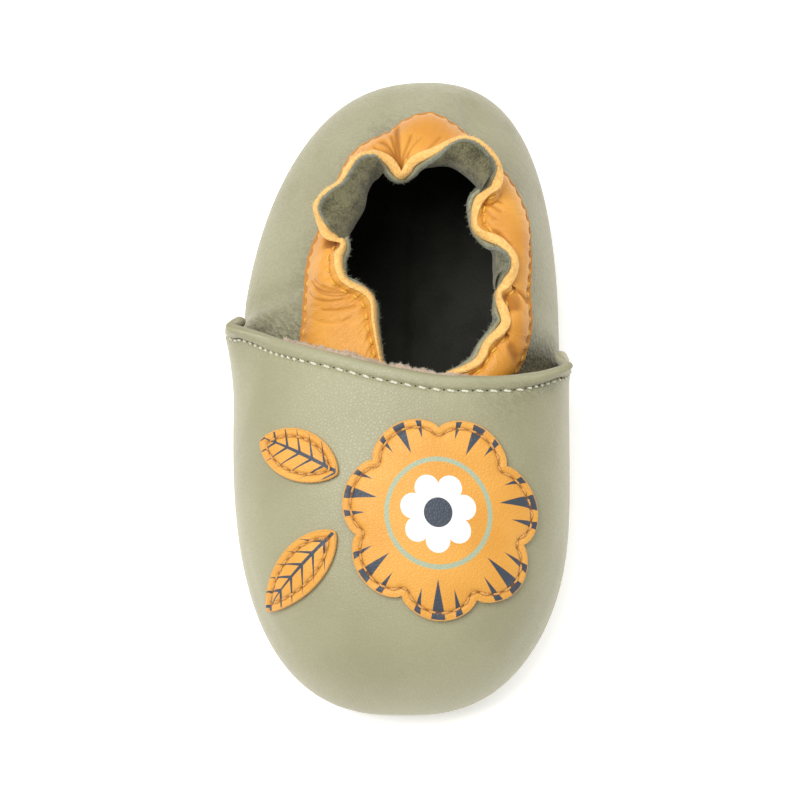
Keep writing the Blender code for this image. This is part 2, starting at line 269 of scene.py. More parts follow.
def dress(sockets, colour, roughness, height):
    """Links a colour, a roughness and a height in millimetres to a shader."""
    tree = colour.tree
    bump = colour.add("Bump", {}, {"Height": height, "Distance": MM, "Strength": 1.0})
    tree.links.new(colour.socket, sockets["Base Color"])
    tree.links.new(roughness.socket, sockets["Roughness"])
    tree.links.new(bump.socket, sockets["Normal"])


def suede(name, tone, deep, nap, edge=None):
    """Napped leather, mottled and dull. An edge is a field, its width and the two tones it has there."""
    constants = {"Sheen Weight": 0.3, "Sheen Roughness": 0.5, "Specular IOR Level": 0.15}
    material, place, sockets = new_finish(name, constants)
    patches = place.noise(0.3, 4.0, 0.65)
    fibres = place.noise(2.6, 5.0, 0.75)
    shade = (patches * 0.45 + fibres * 0.55).step(0.38, 0.6)
    colour = shade.mix(deep, tone)
    if edge:
        field, width, edge_tone, edge_deep = edge
        border = place.field(field) + (fibres + patches - 1) * (2 * width)
        colour = border.step(0.7 * width, 1.3 * width).mix(shade.mix(edge_deep, edge_tone), colour)
    height = fibres * nap + place.noise(0.8, 3.0) * nap
    dress(sockets, colour, 0.86 + fibres * 0.12, height)
    return material


def sole_piece(name, cut, insets, material):
    """A flat sole with a rounded edge that curls up a little."""
    plan = sole_rings([cut.inset + inset for inset in insets])
    depth = np.concatenate([insets, np.full(SPINE_STEPS, insets[-1])])[:, None]
    middle = cut.middle + cut.edge_rise * np.clip(1 - depth / cut.edge_width, 0, 1) ** 2
    half = cut.half * round_edge(depth, cut.half)
    top, bottom = with_height(plan, middle + half), with_height(plan, middle - half)
    return sheet_piece(name, top, bottom, [material], {}, wrap=True)


sole_suede = suede("sole suede", SUEDE_TONE, SUEDE_DEEP, SUEDE_NAP)
outsole = sole_piece("outsole_suede", OUTSOLE_CUT, SOLE_INSETS, sole_suede)
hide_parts("outsole")


# Insole.
# A footbed of thin near-black leather, glued in over the sole with its edge turned up a little
# against the seam. It keeps a fine grain and a low gloss.

INSOLE_INSETS = (0, 0.08, 0.2, 0.4, 0.7, 1.2, 2.0, 3.0, 4.0, 5.0)
INSOLE_CUT = SoleCut(inset=5.5, middle=3.2, half=0.7, edge_rise=0.7, edge_width=4.0)
INSOLE_TONE = (0.032, 0.032, 0.025, 1)
INSOLE_DEEP = (0.021, 0.021, 0.017, 1)


def grain(place, size):
    """The pebbled grain of leather: 0 in the fine furrows, 1 on the pebbles."""
    warp = place.add("TexNoise", {}, {"Vector": place, "Scale": 0.9 / size, "Detail": 2.0}, out="Color")
    inputs = {0: warp, 1: (0.5 * size,) * 3, 2: place}
    place = place.add("VectorMath", {"operation": "MULTIPLY_ADD"}, inputs)
    settings = {"feature": "DISTANCE_TO_EDGE"}
    furrows = place.add("TexVoronoi", settings, {"Vector": place, "Scale": 1 / size})
    return furrows.step(0.0, 0.22)


def insole_leather():
    """Near-black leather with a fine grain and hardly any gloss."""
    material, place, sockets = new_finish("insole leather", {"Specular IOR Level": 0.1})
    pebbles = grain(place, 0.8)
    patches = place.noise(0.12, 3.0).step(0.35, 0.65)
    height = pebbles * 0.03 + place.noise(0.25, 3.0) * 0.08
    dress(sockets, patches.mix(INSOLE_DEEP, INSOLE_TONE), 0.62 - pebbles * 0.1, height)
    return material


insole = sole_piece("insole_leather", INSOLE_CUT, INSOLE_INSETS, insole_leather())
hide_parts("insole")


# Heel quarter.
# One panel of soft sage leather round the back half, its flesh side left as a suede lining. The
# stretched band in the collar draws it in, so that it is dented and finely wrinkled at the neck.

TOE_GIRTH_HEIGHT = 11.0
HEEL_GIRTH_HEIGHT = 20.0
TUCK = 4.0
TUCK_START = math.radians(45)
SEAM_HEIGHT = 3.5
GIRTH_SHARE = 0.28
ANKLE_CENTRE = np.array([4.0, 15.35])
QUARTER_TURNS = (92.0, 268.0)
BEARING_STRETCH = 1.93
QUARTER_SHOULDER = 0.45
NECK_SHARE = 0.66
NECK_LEAN = math.radians(50)
NECK_HANDLE = 6.0
COLLAR_HANDLE = 5.0
SURFACE_STEP = 1e-3
LEATHER_THICKNESS = 1.2
LINING_TOP = 0.994
LINING_EDGE = 0.3
LINING_BORDER = 0.4
LINING_NAP = 0.32
RIM_SHIFT = 0.65
QUARTER_COLUMNS = 321
QUARTER_ROWS = 90
RIM_SHARE = 0.05
RIM_DROPS = (0.04, 0.032, 0.025, 0.019, 0.014, 0.010, 0.0065, 0.004, 0.002, 0.0008, 0.0)
SOLE_PUCKER = 0.16
SOLE_PUCKER_PITCH = 3.4
SOLE_PUCKER_REACH = 0.06
NECK_PUCKER = 0.22
NECK_PUCKER_PITCH = 3.9
NECK_PUCKER_RISE = 0.625
NECK_PUCKER_REACH = 0.05
NECK_DRIFT = 1.5
NECK_DRIFT_RUN = 5.3
ALL_OVER_PINCH = 0.13
NECK_PINCH = 0.25
NECK_PINCH_RISE = 0.6
NECK_PINCH_REACH = 0.06
CREASE_STEPS = 7
SAGE_TONE = (0.322, 0.310, 0.190, 1)
SAGE_DEEP = (0.290, 0.276, 0.166, 1)
SAGE_WORN = (0.372, 0.344, 0.228, 1)
# Dark tone of the grain's furrows, also used as painted shade in the wrinkles and drawn-in patches.
SAGE_FURROW_AND_SHADE = (0.140, 0.126, 0.070, 1)
LINING_TONE = (0.205, 0.188, 0.096, 1)
LINING_DEEP = (0.050, 0.046, 0.022, 1)
LINING_PALE = (0.235, 0.250, 0.185, 1)
LINING_SHADE = (0.100, 0.104, 0.074, 1)

NeckRow = namedtuple("NeckRow", "bearing reach height")
NECK_ROWS = [
    NeckRow(5, 26.0, 31.0),
    NeckRow(45, 22.6, 33.5),
    NeckRow(60, 20.7, 34.5),
    NeckRow(85, 17.9, 35.5),
    NeckRow(105, 18.6, 36.0),
    NeckRow(120, 20.4, 36.3),
    NeckRow(135, 22.2, 36.6),
    NeckRow(150, 24.2, 37.0),
    NeckRow(162, 26.4, 37.0),
    NeckRow(171, 28.9, 37.0),
    NeckRow(178, 30.4, 37.0),
    NeckRow(185, 29.2, 37.0),
    NeckRow(191, 27.3, 37.0),
    NeckRow(204, 26.0, 37.0),
    NeckRow(215, 23.2, 36.8),
    NeckRow(226, 20.0, 36.4),
    NeckRow(246, 18.7, 36.0),
    NeckRow(272, 18.9, 35.0),
    NeckRow(290, 20.4, 34.0),
    NeckRow(305, 23.4, 33.0),
    NeckRow(356, 27.0, 30.5),
]

# The gathered rim: where it stands over each bearing of the neck, and how far the band leads
# inward and down from it. Lobes lead inward, valleys outward.
RimRow = namedtuple("RimRow", "bearing x y height inward drop")
RIM_ROWS = [
    RimRow(5, 5.7, -4.4, 36.0, -4.0, 2.0),
    RimRow(17, 9.5, -3.0, 37.0, -3.5, 2.5),
    RimRow(31, 14.3, -1.2, 38.5, -1.5, 3.5),
    RimRow(42, 16.0, 2.0, 39.5, -2.5, 3.5),
    RimRow(56, 19.4, 5.3, 40.6, 2.0, 5.0),
    RimRow(66, 17.7, 9.5, 40.0, -4.0, 2.0),
    RimRow(71, 17.7, 11.0, 40.2, -4.0, 2.0),
    RimRow(83, 20.8, 13.7, 42.2, 4.0, 4.5),
    RimRow(92, 21.2, 16.1, 42.8, 5.0, 4.5),
    RimRow(106, 18.6, 19.6, 42.0, 1.0, 4.0),
    RimRow(119, 14.1, 21.7, 40.8, -4.5, 1.2),
    RimRow(125, 13.2, 23.4, 40.8, -4.5, 1.2),
    RimRow(134, 14.1, 27.9, 42.4, -1.0, 3.0),
    RimRow(142, 17.7, 30.4, 44.8, 5.0, 4.5),
    RimRow(147, 18.4, 32.8, 45.8, 7.0, 4.5),
    RimRow(156, 14.9, 37.4, 47.0, 8.0, 4.5),
    RimRow(162, 11.9, 38.4, 46.9, 7.0, 4.5),
    RimRow(173, 6.4, 36.1, 45.4, 2.0, 4.5),
    RimRow(183, 2.8, 34.3, 43.5, -2.0, 3.0),
    RimRow(188, 1.6, 32.6, 42.5, -4.5, 1.5),
    RimRow(191.5, 0.6, 32.0, 42.2, -5.0, 1.2),
    RimRow(195, -0.4, 32.8, 42.5, -4.5, 1.5),
    RimRow(199, -2.0, 34.8, 44.2, 0.0, 3.5),
    RimRow(202, -3.8, 35.8, 45.5, 3.0, 4.5),
    RimRow(206, -5.8, 35.6, 46.2, 6.0, 4.5),
    RimRow(217, -9.0, 32.6, 46.3, 7.0, 4.5),
    RimRow(224, -10.1, 30.4, 46.2, 7.5, 4.5),
    RimRow(235, -13.6, 27.2, 46.4, 9.0, 4.5),
    RimRow(242, -14.7, 24.7, 46.0, 8.5, 4.5),
    RimRow(249, -12.8, 21.4, 44.2, 3.0, 4.0),
    RimRow(257, -9.2, 19.6, 42.6, -3.0, 2.0),
    RimRow(266, -9.6, 16.6, 42.4, -4.0, 2.5),
    RimRow(280, -8.8, 13.0, 42.1, -4.5, 2.0),
    RimRow(296, -5.0, 11.0, 40.9, -4.5, 2.0),
    RimRow(306, -3.8, 9.6, 40.3, -4.5, 2.0),
    RimRow(325, -3.3, 5.1, 39.2, -4.5, 2.0),
    RimRow(341, -2.3, -0.9, 37.4, -4.5, 2.0),
    RimRow(356, -1.2, -4.4, 36.0, -4.5, 2.0),
]


def through(rows, key, column, at, rounded=False):
    """Value of a table's column at the given keys: a smooth curve through the rows.

    It stays between its rows, unless it is rounded: then it swings out in lobes.
    """
    keys = np.array([getattr(row, key) for row in rows], float)
    values = np.array([getattr(row, column) for row in rows], float)
    steps = np.diff(keys)
    slopes = np.diff(values) / steps
    before, after = slopes[:-1], slopes[1:]
    same_way = before * after > 0
    if rounded:
        middle = (before * steps[1:] + after * steps[:-1]) / (steps[1:] + steps[:-1])
    else:
        middle = np.where(same_way, 2 * before * after / np.where(same_way, before + after, 1), 0)
    tangents = np.concatenate([slopes[:1], middle, slopes[-1:]])
    at = np.clip(at, keys[0], keys[-1])
    i = np.clip(np.searchsorted(keys, at) - 1, 0, len(steps) - 1)
    s = (at - keys[i]) / steps[i]
    start = (1 + 2 * s) * (1 - s) ** 2 * values[i] + s * (1 - s) ** 2 * steps[i] * tangents[i]
    end = s**2 * (3 - 2 * s) * values[i + 1] + s**2 * (s - 1) * steps[i] * tangents[i + 1]
    return start + end


def girth_height(turn):
    """Height of the widest outline, rising from the toe to the heel."""
    along = girth_line(turn)[..., 1] - BALL_CENTRE[1] + FRONT_LENGTH
    return TOE_GIRTH_HEIGHT + (HEEL_GIRTH_HEIGHT - TOE_GIRTH_HEIGHT) * along / (FRONT_LENGTH + REAR_LENGTH)


def bend(start, start_handle, end_handle, end, share):
    """A cubic curve between two points, shaped by the handles at its ends."""
    s = np.clip(share, 0, None)[..., None]
    first = start * (1 - s) ** 3 + 3 * (start + start_handle) * s * (1 - s) ** 2
    return first + 3 * (end + end_handle) * s**2 * (1 - s) + end * s**3


def tucked_wall(turn, share, outward):
    """The bottom of the upper: tucked in at the sole seam, swelling out to the girth."""
    swell = TUCK_START + (math.pi / 2 - TUCK_START) * np.clip(share, 0, 1)
    inset = TUCK * (1 - np.sin(swell)) / (1 - math.sin(TUCK_START))
    drop = (girth_height(turn) - SEAM_HEIGHT) * np.cos(swell) / math.cos(TUCK_START)
    return with_height(outline(turn, outward - inset), girth_height(turn) - drop)


def quarter_surface(turn, rise):
    """Outer face of the heel quarter and, above the neck, the face between lining and collar."""
    bearing = 180 + BEARING_STRETCH * (turn - 180)
    away = np.stack([np.sin(np.radians(bearing)), -np.cos(np.radians(bearing))], -1)
    neck_reach = through(NECK_ROWS, "bearing", "reach", bearing)
    neck_height = through(NECK_ROWS, "bearing", "height", bearing)
    neck = with_height(ANKLE_CENTRE + away * neck_reach[..., None], neck_height)
    rim = np.stack([through(RIM_ROWS, "bearing", axis, bearing, True) for axis in ("x", "y", "height")], -1)
    inward = through(RIM_ROWS, "bearing", "inward", bearing)
    rim_handle = with_height(-away * inward[..., None], -through(RIM_ROWS, "bearing", "drop", bearing))
    girth = with_height(girth_line(turn), girth_height(turn))
    rise_handle = np.zeros_like(girth)
    rise_handle[..., 2] = QUARTER_SHOULDER * (neck - girth)[..., 2]
    outward = unit((girth - neck)[..., :2])
    neck_slope = with_height(outward * math.cos(NECK_LEAN), np.full_like(turn, -math.sin(NECK_LEAN)))
    side_share = (rise - GIRTH_SHARE) / (NECK_SHARE - GIRTH_SHARE)
    collar_share = (rise - NECK_SHARE) / (1 - NECK_SHARE)
    low = tucked_wall(turn, rise / GIRTH_SHARE, np.zeros_like(turn))
    side = bend(girth, rise_handle, NECK_HANDLE * neck_slope, neck, side_share)
    gathered = bend(neck, -COLLAR_HANDLE * neck_slope, rim_handle, rim, collar_share)
    point = np.where((rise < GIRTH_SHARE)[..., None], low, side)
    return np.where((rise > NECK_SHARE)[..., None], gathered, point)


def facing(surface, first, second):
    """Directions square to a surface, pointing out of the slipper."""
    step = SURFACE_STEP
    along_first = surface(first + step, second) - surface(first - step, second)
    along_second = surface(first, second + step) - surface(first, second - step)
    return unit(np.cross(along_first, along_second))


def along_line(line):
    """Distance run along a line of points, or down each column of a grid of them."""
    lengths = np.linalg.norm(np.diff(line, axis=0), axis=-1)
    return np.concatenate([np.zeros((1, *lengths.shape[1:])), np.cumsum(lengths, axis=0)])


def distance_to(points, line):
    """Shortest distance from each point to a line of points."""
    nearest = np.full(points.shape[:-1], np.inf)
    for start, end in zip(line[:-1], line[1:]):
        run = end - start
        share = np.clip((points - start) @ run / max(run @ run, NEAR_NOTHING), 0, 1)
        nearest = np.minimum(nearest, np.linalg.norm(points - start - share[..., None] * run, axis=-1))
    return nearest


CreaseRow = namedtuple("CreaseRow", "turn rise end_turn end_rise width depth")
HEEL_CREASES = [
    CreaseRow(175.5, 0.44, 172.4, 0.62, 1.3, -0.32),
    CreaseRow(172.0, 0.46, 170.2, 0.60, 2.0, 0.50),
    CreaseRow(237.0, 0.32, 229.0, 0.58, 2.0, 0.75),
    CreaseRow(239.5, 0.34, 232.5, 0.57, 1.5, -0.40),
    CreaseRow(186.0, 0.52, 185.6, 0.62, 0.5, 0.18),
    CreaseRow(187.6, 0.50, 187.0, 0.62, 0.5, 0.20),
    CreaseRow(189.4, 0.53, 188.6, 0.62, 0.5, 0.18),
    CreaseRow(200.0, 0.46, 198.5, 0.62, 1.5, 0.35),
    CreaseRow(208.0, 0.44, 207.0, 0.62, 1.8, 0.35),
    CreaseRow(249.0, 0.40, 243.0, 0.54, 1.2, 0.30),
    CreaseRow(246.0, 0.36, 240.0, 0.48, 1.0, 0.25),
    CreaseRow(163.0, 0.42, 164.0, 0.62, 1.8, 0.35),
    CreaseRow(150.0, 0.42, 153.0, 0.62, 2.0, 0.35),
    CreaseRow(120.0, 0.34, 126.0, 0.60, 3.0, 0.40),
    CreaseRow(104.0, 0.36, 110.0, 0.58, 2.2, 0.40),
]


def creased(points, rows, surface):
    """How deep the creases of a table press into a surface, in millimetres."""
    share = np.linspace(0, 1, CREASE_STEPS)
    depth = np.zeros(points.shape[:-1])
    for row in rows:
        turn = row.turn + (row.end_turn - row.turn) * share
        rise = row.rise + (row.end_rise - row.rise) * share
        depth += row.depth * hump(distance_to(points, surface(turn, rise)), row.width)
    return depth


def sage_leather():
    """Smooth sage leather: clouds of tone, fine pebbled grain, and deeper wrinkled grain where the leather
    is drawn in, darkened there with painted shade.
    """
    constants = {
        "Specular IOR Level": 0.42,
        "Sheen Weight": 0.12,
        "Sheen Roughness": 0.4,
        "Sheen Tint": (1.0, 0.80, 0.72, 1),
    }
    material, place, sockets = new_finish("sage leather", constants)
    pinch_and_shade = place.field("pinch_and_shade")
    clouds = place.noise(0.05, 3.0).step(0.35, 0.65)
    pebbles = grain(place, 0.62)
    stretch = {"Vector": place, "Rotation": (0, 0, math.radians(-37)), "Scale": (1.9, 0.6, 0.8)}
    wrinkles = place.add("Mapping", {"vector_type": "TEXTURE"}, stretch).noise(1.0, 3.0, 0.6).step(0.38, 0.6)
    # Darker in the grain's furrows. The pinch-and-shade field adds painted shade in the wrinkles' troughs
    # and over the whole drawn-in patch.
    furrows = (1 - pebbles) * 0.10 + (1 - wrinkles) * pinch_and_shade * 0.6 + pinch_and_shade * 0.22
    rubbed = place.noise(0.35, 4.0, 0.6).step(0.58, 0.8) * 0.3
    colour = rubbed.mix(clouds.mix(SAGE_DEEP, SAGE_TONE), SAGE_WORN)
    colour = furrows.mix(colour, SAGE_FURROW_AND_SHADE)
    height = pebbles * 0.025 + wrinkles * pinch_and_shade * 0.3 + place.noise(0.4, 4.0, 0.6) * 0.06
    dress(sockets, colour, 0.5 - pebbles * 0.07 + pinch_and_shade * 0.06, height)
    return material


PinchRow = namedtuple("PinchRow", "turn rise turn_spread rise_spread strength")
# Patches of wrinkled leather under the hem's corners and at the back, darkened there with painted shade.
QUARTER_PINCH_AND_SHADE_PATCHES = [
    PinchRow(246.0, 0.46, 8.0, 0.13, 1.0),
    PinchRow(187.5, 0.57, 4.0, 0.06, 0.25),
    PinchRow(110.0, 0.45, 6.0, 0.13, 0.8),
]


def pinch(turn, rise, rows):
    """How strongly the patches of a table wrinkle the leather and darken it with painted shade."""
    strength = np.zeros_like(turn)
    for row in rows:
        patch = hump(turn - row.turn, row.turn_spread) * hump(rise - row.rise, row.rise_spread)
        strength += row.strength * patch
    return strength


def ripple(run, pitch):
    """Waves between 0 and 1 along a run, which starts on a crest."""
    return 0.5 + 0.5 * np.cos(2 * math.pi * run / pitch)


def sole_puckers(run, rise):
    """Puckers that the sole's seam draws into the upper, by the distance run along the seam."""
    waves = ripple(run - SOLE_PUCKER_PITCH / 4, SOLE_PUCKER_PITCH)
    return SOLE_PUCKER * waves * hump(rise, SOLE_PUCKER_REACH)


low_rises = np.linspace(0, LINING_TOP - RIM_SHARE, QUARTER_ROWS)
quarter_rises = np.concatenate([low_rises, LINING_TOP - np.array(RIM_DROPS)])
turns, rises = np.meshgrid(np.linspace(*QUARTER_TURNS, QUARTER_COLUMNS), quarter_rises)
quarter_points = quarter_surface(turns, rises)
quarter_facing = facing(quarter_surface, turns, rises)
from_rim = along_line(quarter_points[::-1])[::-1]
seam_run = along_line(quarter_points[0])
neck_run = along_line(quarter_points[np.argmin(np.abs(quarter_rises - NECK_SHARE))])
quarter_dents = creased(quarter_points, HEEL_CREASES, quarter_surface) + sole_puckers(seam_run, rises)
neck_drift = NECK_DRIFT * np.sin(neck_run / NECK_DRIFT_RUN)
neck_waves = 0.5 + 0.5 * np.sin(2 * math.pi * neck_run / NECK_PUCKER_PITCH + neck_drift)
quarter_dents += NECK_PUCKER * neck_waves * hump(rises - NECK_PUCKER_RISE, NECK_PUCKER_REACH)
quarter_half = LEATHER_THICKNESS / 2 * round_edge(from_rim, LINING_EDGE)
rim_shift = RIM_SHIFT * smooth((rises - NECK_SHARE) / (1 - NECK_SHARE))
quarter_lift = -LEATHER_THICKNESS / 2 - rim_shift - quarter_dents
# Drawn-in leather all over, more at the neck and in the patches: wrinkles in the bump, and painted shade in
# the colour where the band and the hem close over it.
quarter_pinch_and_shade = ALL_OVER_PINCH + NECK_PINCH * hump(rises - NECK_PINCH_RISE, NECK_PINCH_REACH)
quarter_pinch_and_shade += pinch(turns, rises, QUARTER_PINCH_AND_SHADE_PATCHES)
sage = sage_leather()
lining_border = ("from_rim", LINING_BORDER, LINING_PALE, LINING_SHADE)
lining = suede("lining suede", LINING_TONE, LINING_DEEP, LINING_NAP, lining_border)
quarter = sheet_piece(
    "quarter_leather",
    quarter_points + quarter_facing * (quarter_lift + quarter_half)[..., None],
    quarter_points + quarter_facing * (quarter_lift - quarter_half)[..., None],
    [sage, lining],
    {"pinch_and_shade": np.clip(quarter_pinch_and_shade, 0, 1), "from_rim": from_rim},
)
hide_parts("upper_quarter")


# Collar.
# A band of mustard leather sewn round the outside of the quarter's rim with two rows of yellow
# thread. The gathering between the rows throws it into lobes and valleys with fine creases.

COLLAR_COLUMNS = 641
COLLAR_FLANGE = 0.03
COLLAR_ROWS = 44
COLLAR_EDGE_ROWS = (0, 0.004, 0.01, 0.018, 0.028, 0.04, 0.055)
COLLAR_INNER_SHARES = (0.07, 0.93)
COLLAR_STANDOFF = 0.1
COLLAR_THICKNESS = 1.8
COLLAR_EDGE = 0.5
FLANGE_WIDTH = 1.35
RIM_SEAM = 2.4
CASING_SWELL = 0.45
CASING_FULLNESS = 0.7
SEAM_SINK = 0.35
SEAM_SINK_WIDTH = 0.5
PUCKER_SINK = 0.3
PUCKER_REACH = 1.1
COLLAR_PITCH = 2.25
COLLAR_THREAD_RADIUS = 0.22
COLLAR_STITCH_SHARE = 0.66
COLLAR_HOLE_SHARE = 0.12
COLLAR_HOLE_WIDTH = 0.2
CREASE_SHADE_GAIN = 3.2
CREASE_SHADE_LOSS = 0.35
MUSTARD_TONE = (0.66, 0.305, 0.040, 1)
MUSTARD_DEEP = (0.57, 0.238, 0.026, 1)
MUSTARD_FLANGE = (0.44, 0.175, 0.022, 1)
# Painted shade in the collar's deeper creases.
MUSTARD_CREASE_SHADE = (0.30, 0.105, 0.010, 1)
RAW_EDGE_TONE = (0.95, 0.59, 0.20, 1)
RAW_EDGE_DEEP = (0.80, 0.43, 0.11, 1)
YELLOW_THREAD = (0.80, 0.44, 0.055, 1)
YELLOW_DEEP = (0.60, 0.31, 0.035, 1)
# Painted shade in the needle holes of the collar and the appliqués.
BROWN_HOLE_SHADE = (0.22, 0.08, 0.012, 1)
BROWN_HOLE_SHADE_PALE = (0.32, 0.12, 0.025, 1)
SATIN = {"Specular IOR Level": 0.42, "Sheen Weight": 0.1, "Sheen Roughness": 0.35}

COLLAR_CREASES = [
    CreaseRow(285, 0.80, 274, 0.50, 0.24, 0.24),
    CreaseRow(287.5, 0.82, 273, 0.34, 0.26, 0.30),
    CreaseRow(290, 0.80, 278, 0.46, 0.24, 0.26),
    CreaseRow(293, 0.82, 279, 0.24, 0.26, 0.24),
    CreaseRow(301, 0.80, 290, 0.44, 0.26, 0.24),
    CreaseRow(305, 0.70, 293, 0.28, 0.26, 0.18),
    CreaseRow(322, 0.58, 309, 0.14, 0.34, 0.28),
    CreaseRow(326, 0.46, 315, 0.12, 0.30, 0.26),
    CreaseRow(334, 0.60, 325, 0.22, 0.34, 0.26),
    CreaseRow(254, 0.72, 258, 0.86, 1.30, 0.90),
    CreaseRow(250, 0.60, 255, 0.84, 0.60, 0.45),
    CreaseRow(191, 0.90, 187.5, 0.20, 0.55, 0.50),
    CreaseRow(191.5, 0.90, 191.0, 0.30, 0.45, 0.40),
    CreaseRow(192.5, 0.90, 195.5, 0.35, 0.40, 0.40),
    CreaseRow(193.5, 0.88, 199, 0.35, 0.34, 0.36),
    CreaseRow(195, 0.80, 203, 0.45, 0.32, 0.32),
    CreaseRow(196.5, 0.82, 207, 0.55, 0.30, 0.28),
    CreaseRow(198, 0.66, 211, 0.40, 0.32, 0.30),
    CreaseRow(204, 0.72, 215, 0.52, 0.30, 0.28),
    CreaseRow(209, 0.80, 217, 0.62, 0.30, 0.26),
    CreaseRow(189.5, 0.88, 183.5, 0.45, 0.32, 0.32),
    CreaseRow(187.5, 0.84, 179.5, 0.52, 0.30, 0.26),
    CreaseRow(176, 0.72, 173, 0.45, 0.40, 0.28),
    CreaseRow(173, 0.74, 170, 0.50, 0.40, 0.28),
    CreaseRow(170.5, 0.76, 167.5, 0.52, 0.40, 0.25),
    CreaseRow(137, 0.75, 131, 0.48, 0.34, 0.28),
    CreaseRow(134, 0.80, 127, 0.55, 0.34, 0.30),
    CreaseRow(131, 0.84, 124, 0.66, 0.30, 0.26),
    CreaseRow(118, 0.80, 109, 0.52, 0.32, 0.28),
    CreaseRow(114, 0.76, 104, 0.60, 0.30, 0.24),
    CreaseRow(68, 0.70, 70, 0.82, 1.00, 0.70),
    CreaseRow(76, 0.15, 79, 0.27, 0.90, 0.45),
    CreaseRow(50, 0.25, 52, 0.36, 1.10, 0.45),
]


def collar_surface(bearing, share):
    """The face between lining and collar, by bearing and by share of the band's height."""
    low = NECK_SHARE - COLLAR_FLANGE
    return quarter_surface(180 + (bearing - 180) / BEARING_STRETCH, low + (1 - low) * share)


def level_line(points, directions, field, level):
    """Where a field that grows along the rows reaches a level: a place and a facing in each column."""
    columns = np.arange(field.shape[1])
    row = np.clip(np.argmax(field >= level, axis=0), 1, None)
    low, high = field[row - 1, columns], field[row, columns]
    share = ((level - low) / (high - low))[:, None]
    line = points[row - 1, columns] * (1 - share) + points[row, columns] * share
    return line, directions[row, columns]


def read_line(values, run, at):
    """Values kept along a line, read at other distances along it."""
    return np.stack([np.interp(at, run, values[:, axis]) for axis in range(values.shape[1])], -1)


STITCH_RINGS = 7
STITCH_SIDES = 8
STITCH_STAND = 0.75
STITCH_DIP = 1.3
STITCH_FLATNESS = 0.8
HOLE_SIDES = 8
HOLE_STAND = 0.06
HOLE_DEPTH = 0.25
SEAM_STEP = 0.1


def ring_faces(points):
    """Faces between the rings of many small closed shapes, whose end rings are drawn to a point."""
    at = np.arange(points[..., 0].size).reshape(points.shape[:3])
    beside = np.roll(at, -1, axis=2)
    return np.stack([at[:, :-1], beside[:, :-1], beside[:, 1:], at[:, 1:]], -1).reshape(-1, 4)


def seam_frame(line, directions, run, at):
    """Places along a seam, with the directions out of the leather, along the seam and beside it."""
    ahead = unit(read_line(line, run, at + SEAM_STEP) - read_line(line, run, at - SEAM_STEP))
    up = read_line(directions, run, at)
    return read_line(line, run, at), up, ahead, np.cross(up, ahead)


def sew(name, seams, pitch, share, radius, material, slot, slant=0.0):
    """Rows of stitches as one mesh: grains of thread that dip into the leather at both ends.

    Each seam is a line, its facing directions, and the distance run that its stitches are counted by.
    """
    ring = np.linspace(-1, 1, STITCH_RINGS)
    turn = 2 * math.pi * np.arange(STITCH_SIDES)[:, None] / STITCH_SIDES
    grains = []
    for line, directions, run in seams:
        middles = np.arange(math.ceil(run[0] / pitch) + 0.5, math.floor(run[-1] / pitch), 1.0) * pitch
        at = (middles[:, None] + ring * pitch * share / 2).ravel()
        core, up, _, beside = seam_frame(line, directions, run, at)
        shape = np.tile(ring, len(middles))[:, None]
        core = core + up * radius * (STITCH_STAND - STITCH_DIP * shape**4) - beside * slant * shape
        girth = radius * np.sqrt(np.clip(1 - shape**4, 0, None))
        around = np.cos(turn) * beside[:, None] + STITCH_FLATNESS * np.sin(turn) * up[:, None]
        skin = core[:, None] + girth[..., None] * around
        grains.append(skin.reshape(len(middles), STITCH_RINGS, STITCH_SIDES, 3))
    points = np.concatenate(grains)
    return make_piece(name, points.reshape(-1, 3), ring_faces(points), 0, [material], {})


def pierce(name, seams, pitch, share, width, material, slot, aside=0.0):
    """Painted shade in the mouths of the needle holes between the stitches: dark flat lenses in the leather.
    """
    turn = 2 * math.pi * np.arange(HOLE_SIDES)[:, None] / HOLE_SIDES
    lenses = []
    for line, directions, run in seams:
        at = np.arange(math.ceil(run[0] / pitch) + 1.0, math.floor(run[-1] / pitch), 1.0) * pitch
        core, up, ahead, beside = seam_frame(line, directions, run, at)
        core = core + aside * beside
        span = read_line(line, run, at + pitch / 2) - read_line(line, run, at - pitch / 2)
        length = share * np.linalg.norm(span, axis=-1)[:, None, None]
        edge = length / 2 * np.cos(turn) * ahead[:, None] + width / 2 * np.sin(turn) * beside[:, None]
        edge = core[:, None] + edge
        top = np.broadcast_to((core + HOLE_STAND * up)[:, None], edge.shape)
        bottom = np.broadcast_to((core - HOLE_DEPTH * up)[:, None], edge.shape)
        lenses.append(np.stack([top, edge, bottom], 1))
    points = np.concatenate(lenses)
    return make_piece(name, points.reshape(-1, 3), ring_faces(points), 0, [material], {})


def thread(name, tone, deep):
    """Waxed sewing thread: twisted strands with a faint shine."""
    constants = {"Specular IOR Level": 0.35, "Sheen Weight": 0.2, "Sheen Roughness": 0.4}
    material, place, sockets = new_finish(name, constants)
    inputs = {0: place, 1: (14.0, 11.0, 9.0)}
    slant = place.add("VectorMath", {"operation": "DOT_PRODUCT"}, inputs, out="Value")
    strands = slant.maths("SINE", slant) * 0.5 + 0.5
    lint = place.noise(3.0, 3.0)
    shade = (strands * 0.5 + lint * 0.5).step(0.2, 0.7)
    dress(sockets, shade.mix(deep, tone), 0.5 + lint * 0.2, strands * 0.05)
    return material


def hollow(name, colour, lit):
    """Painted shade for the inside of a needle hole."""
    material, place, sockets = new_finish(name, {"Specular IOR Level": 0.1})
    soft = place.noise(2.0, 2.0)
    dress(sockets, soft.mix(colour, lit), 0.8 + soft * 0.1, soft * 0.05)
    return material


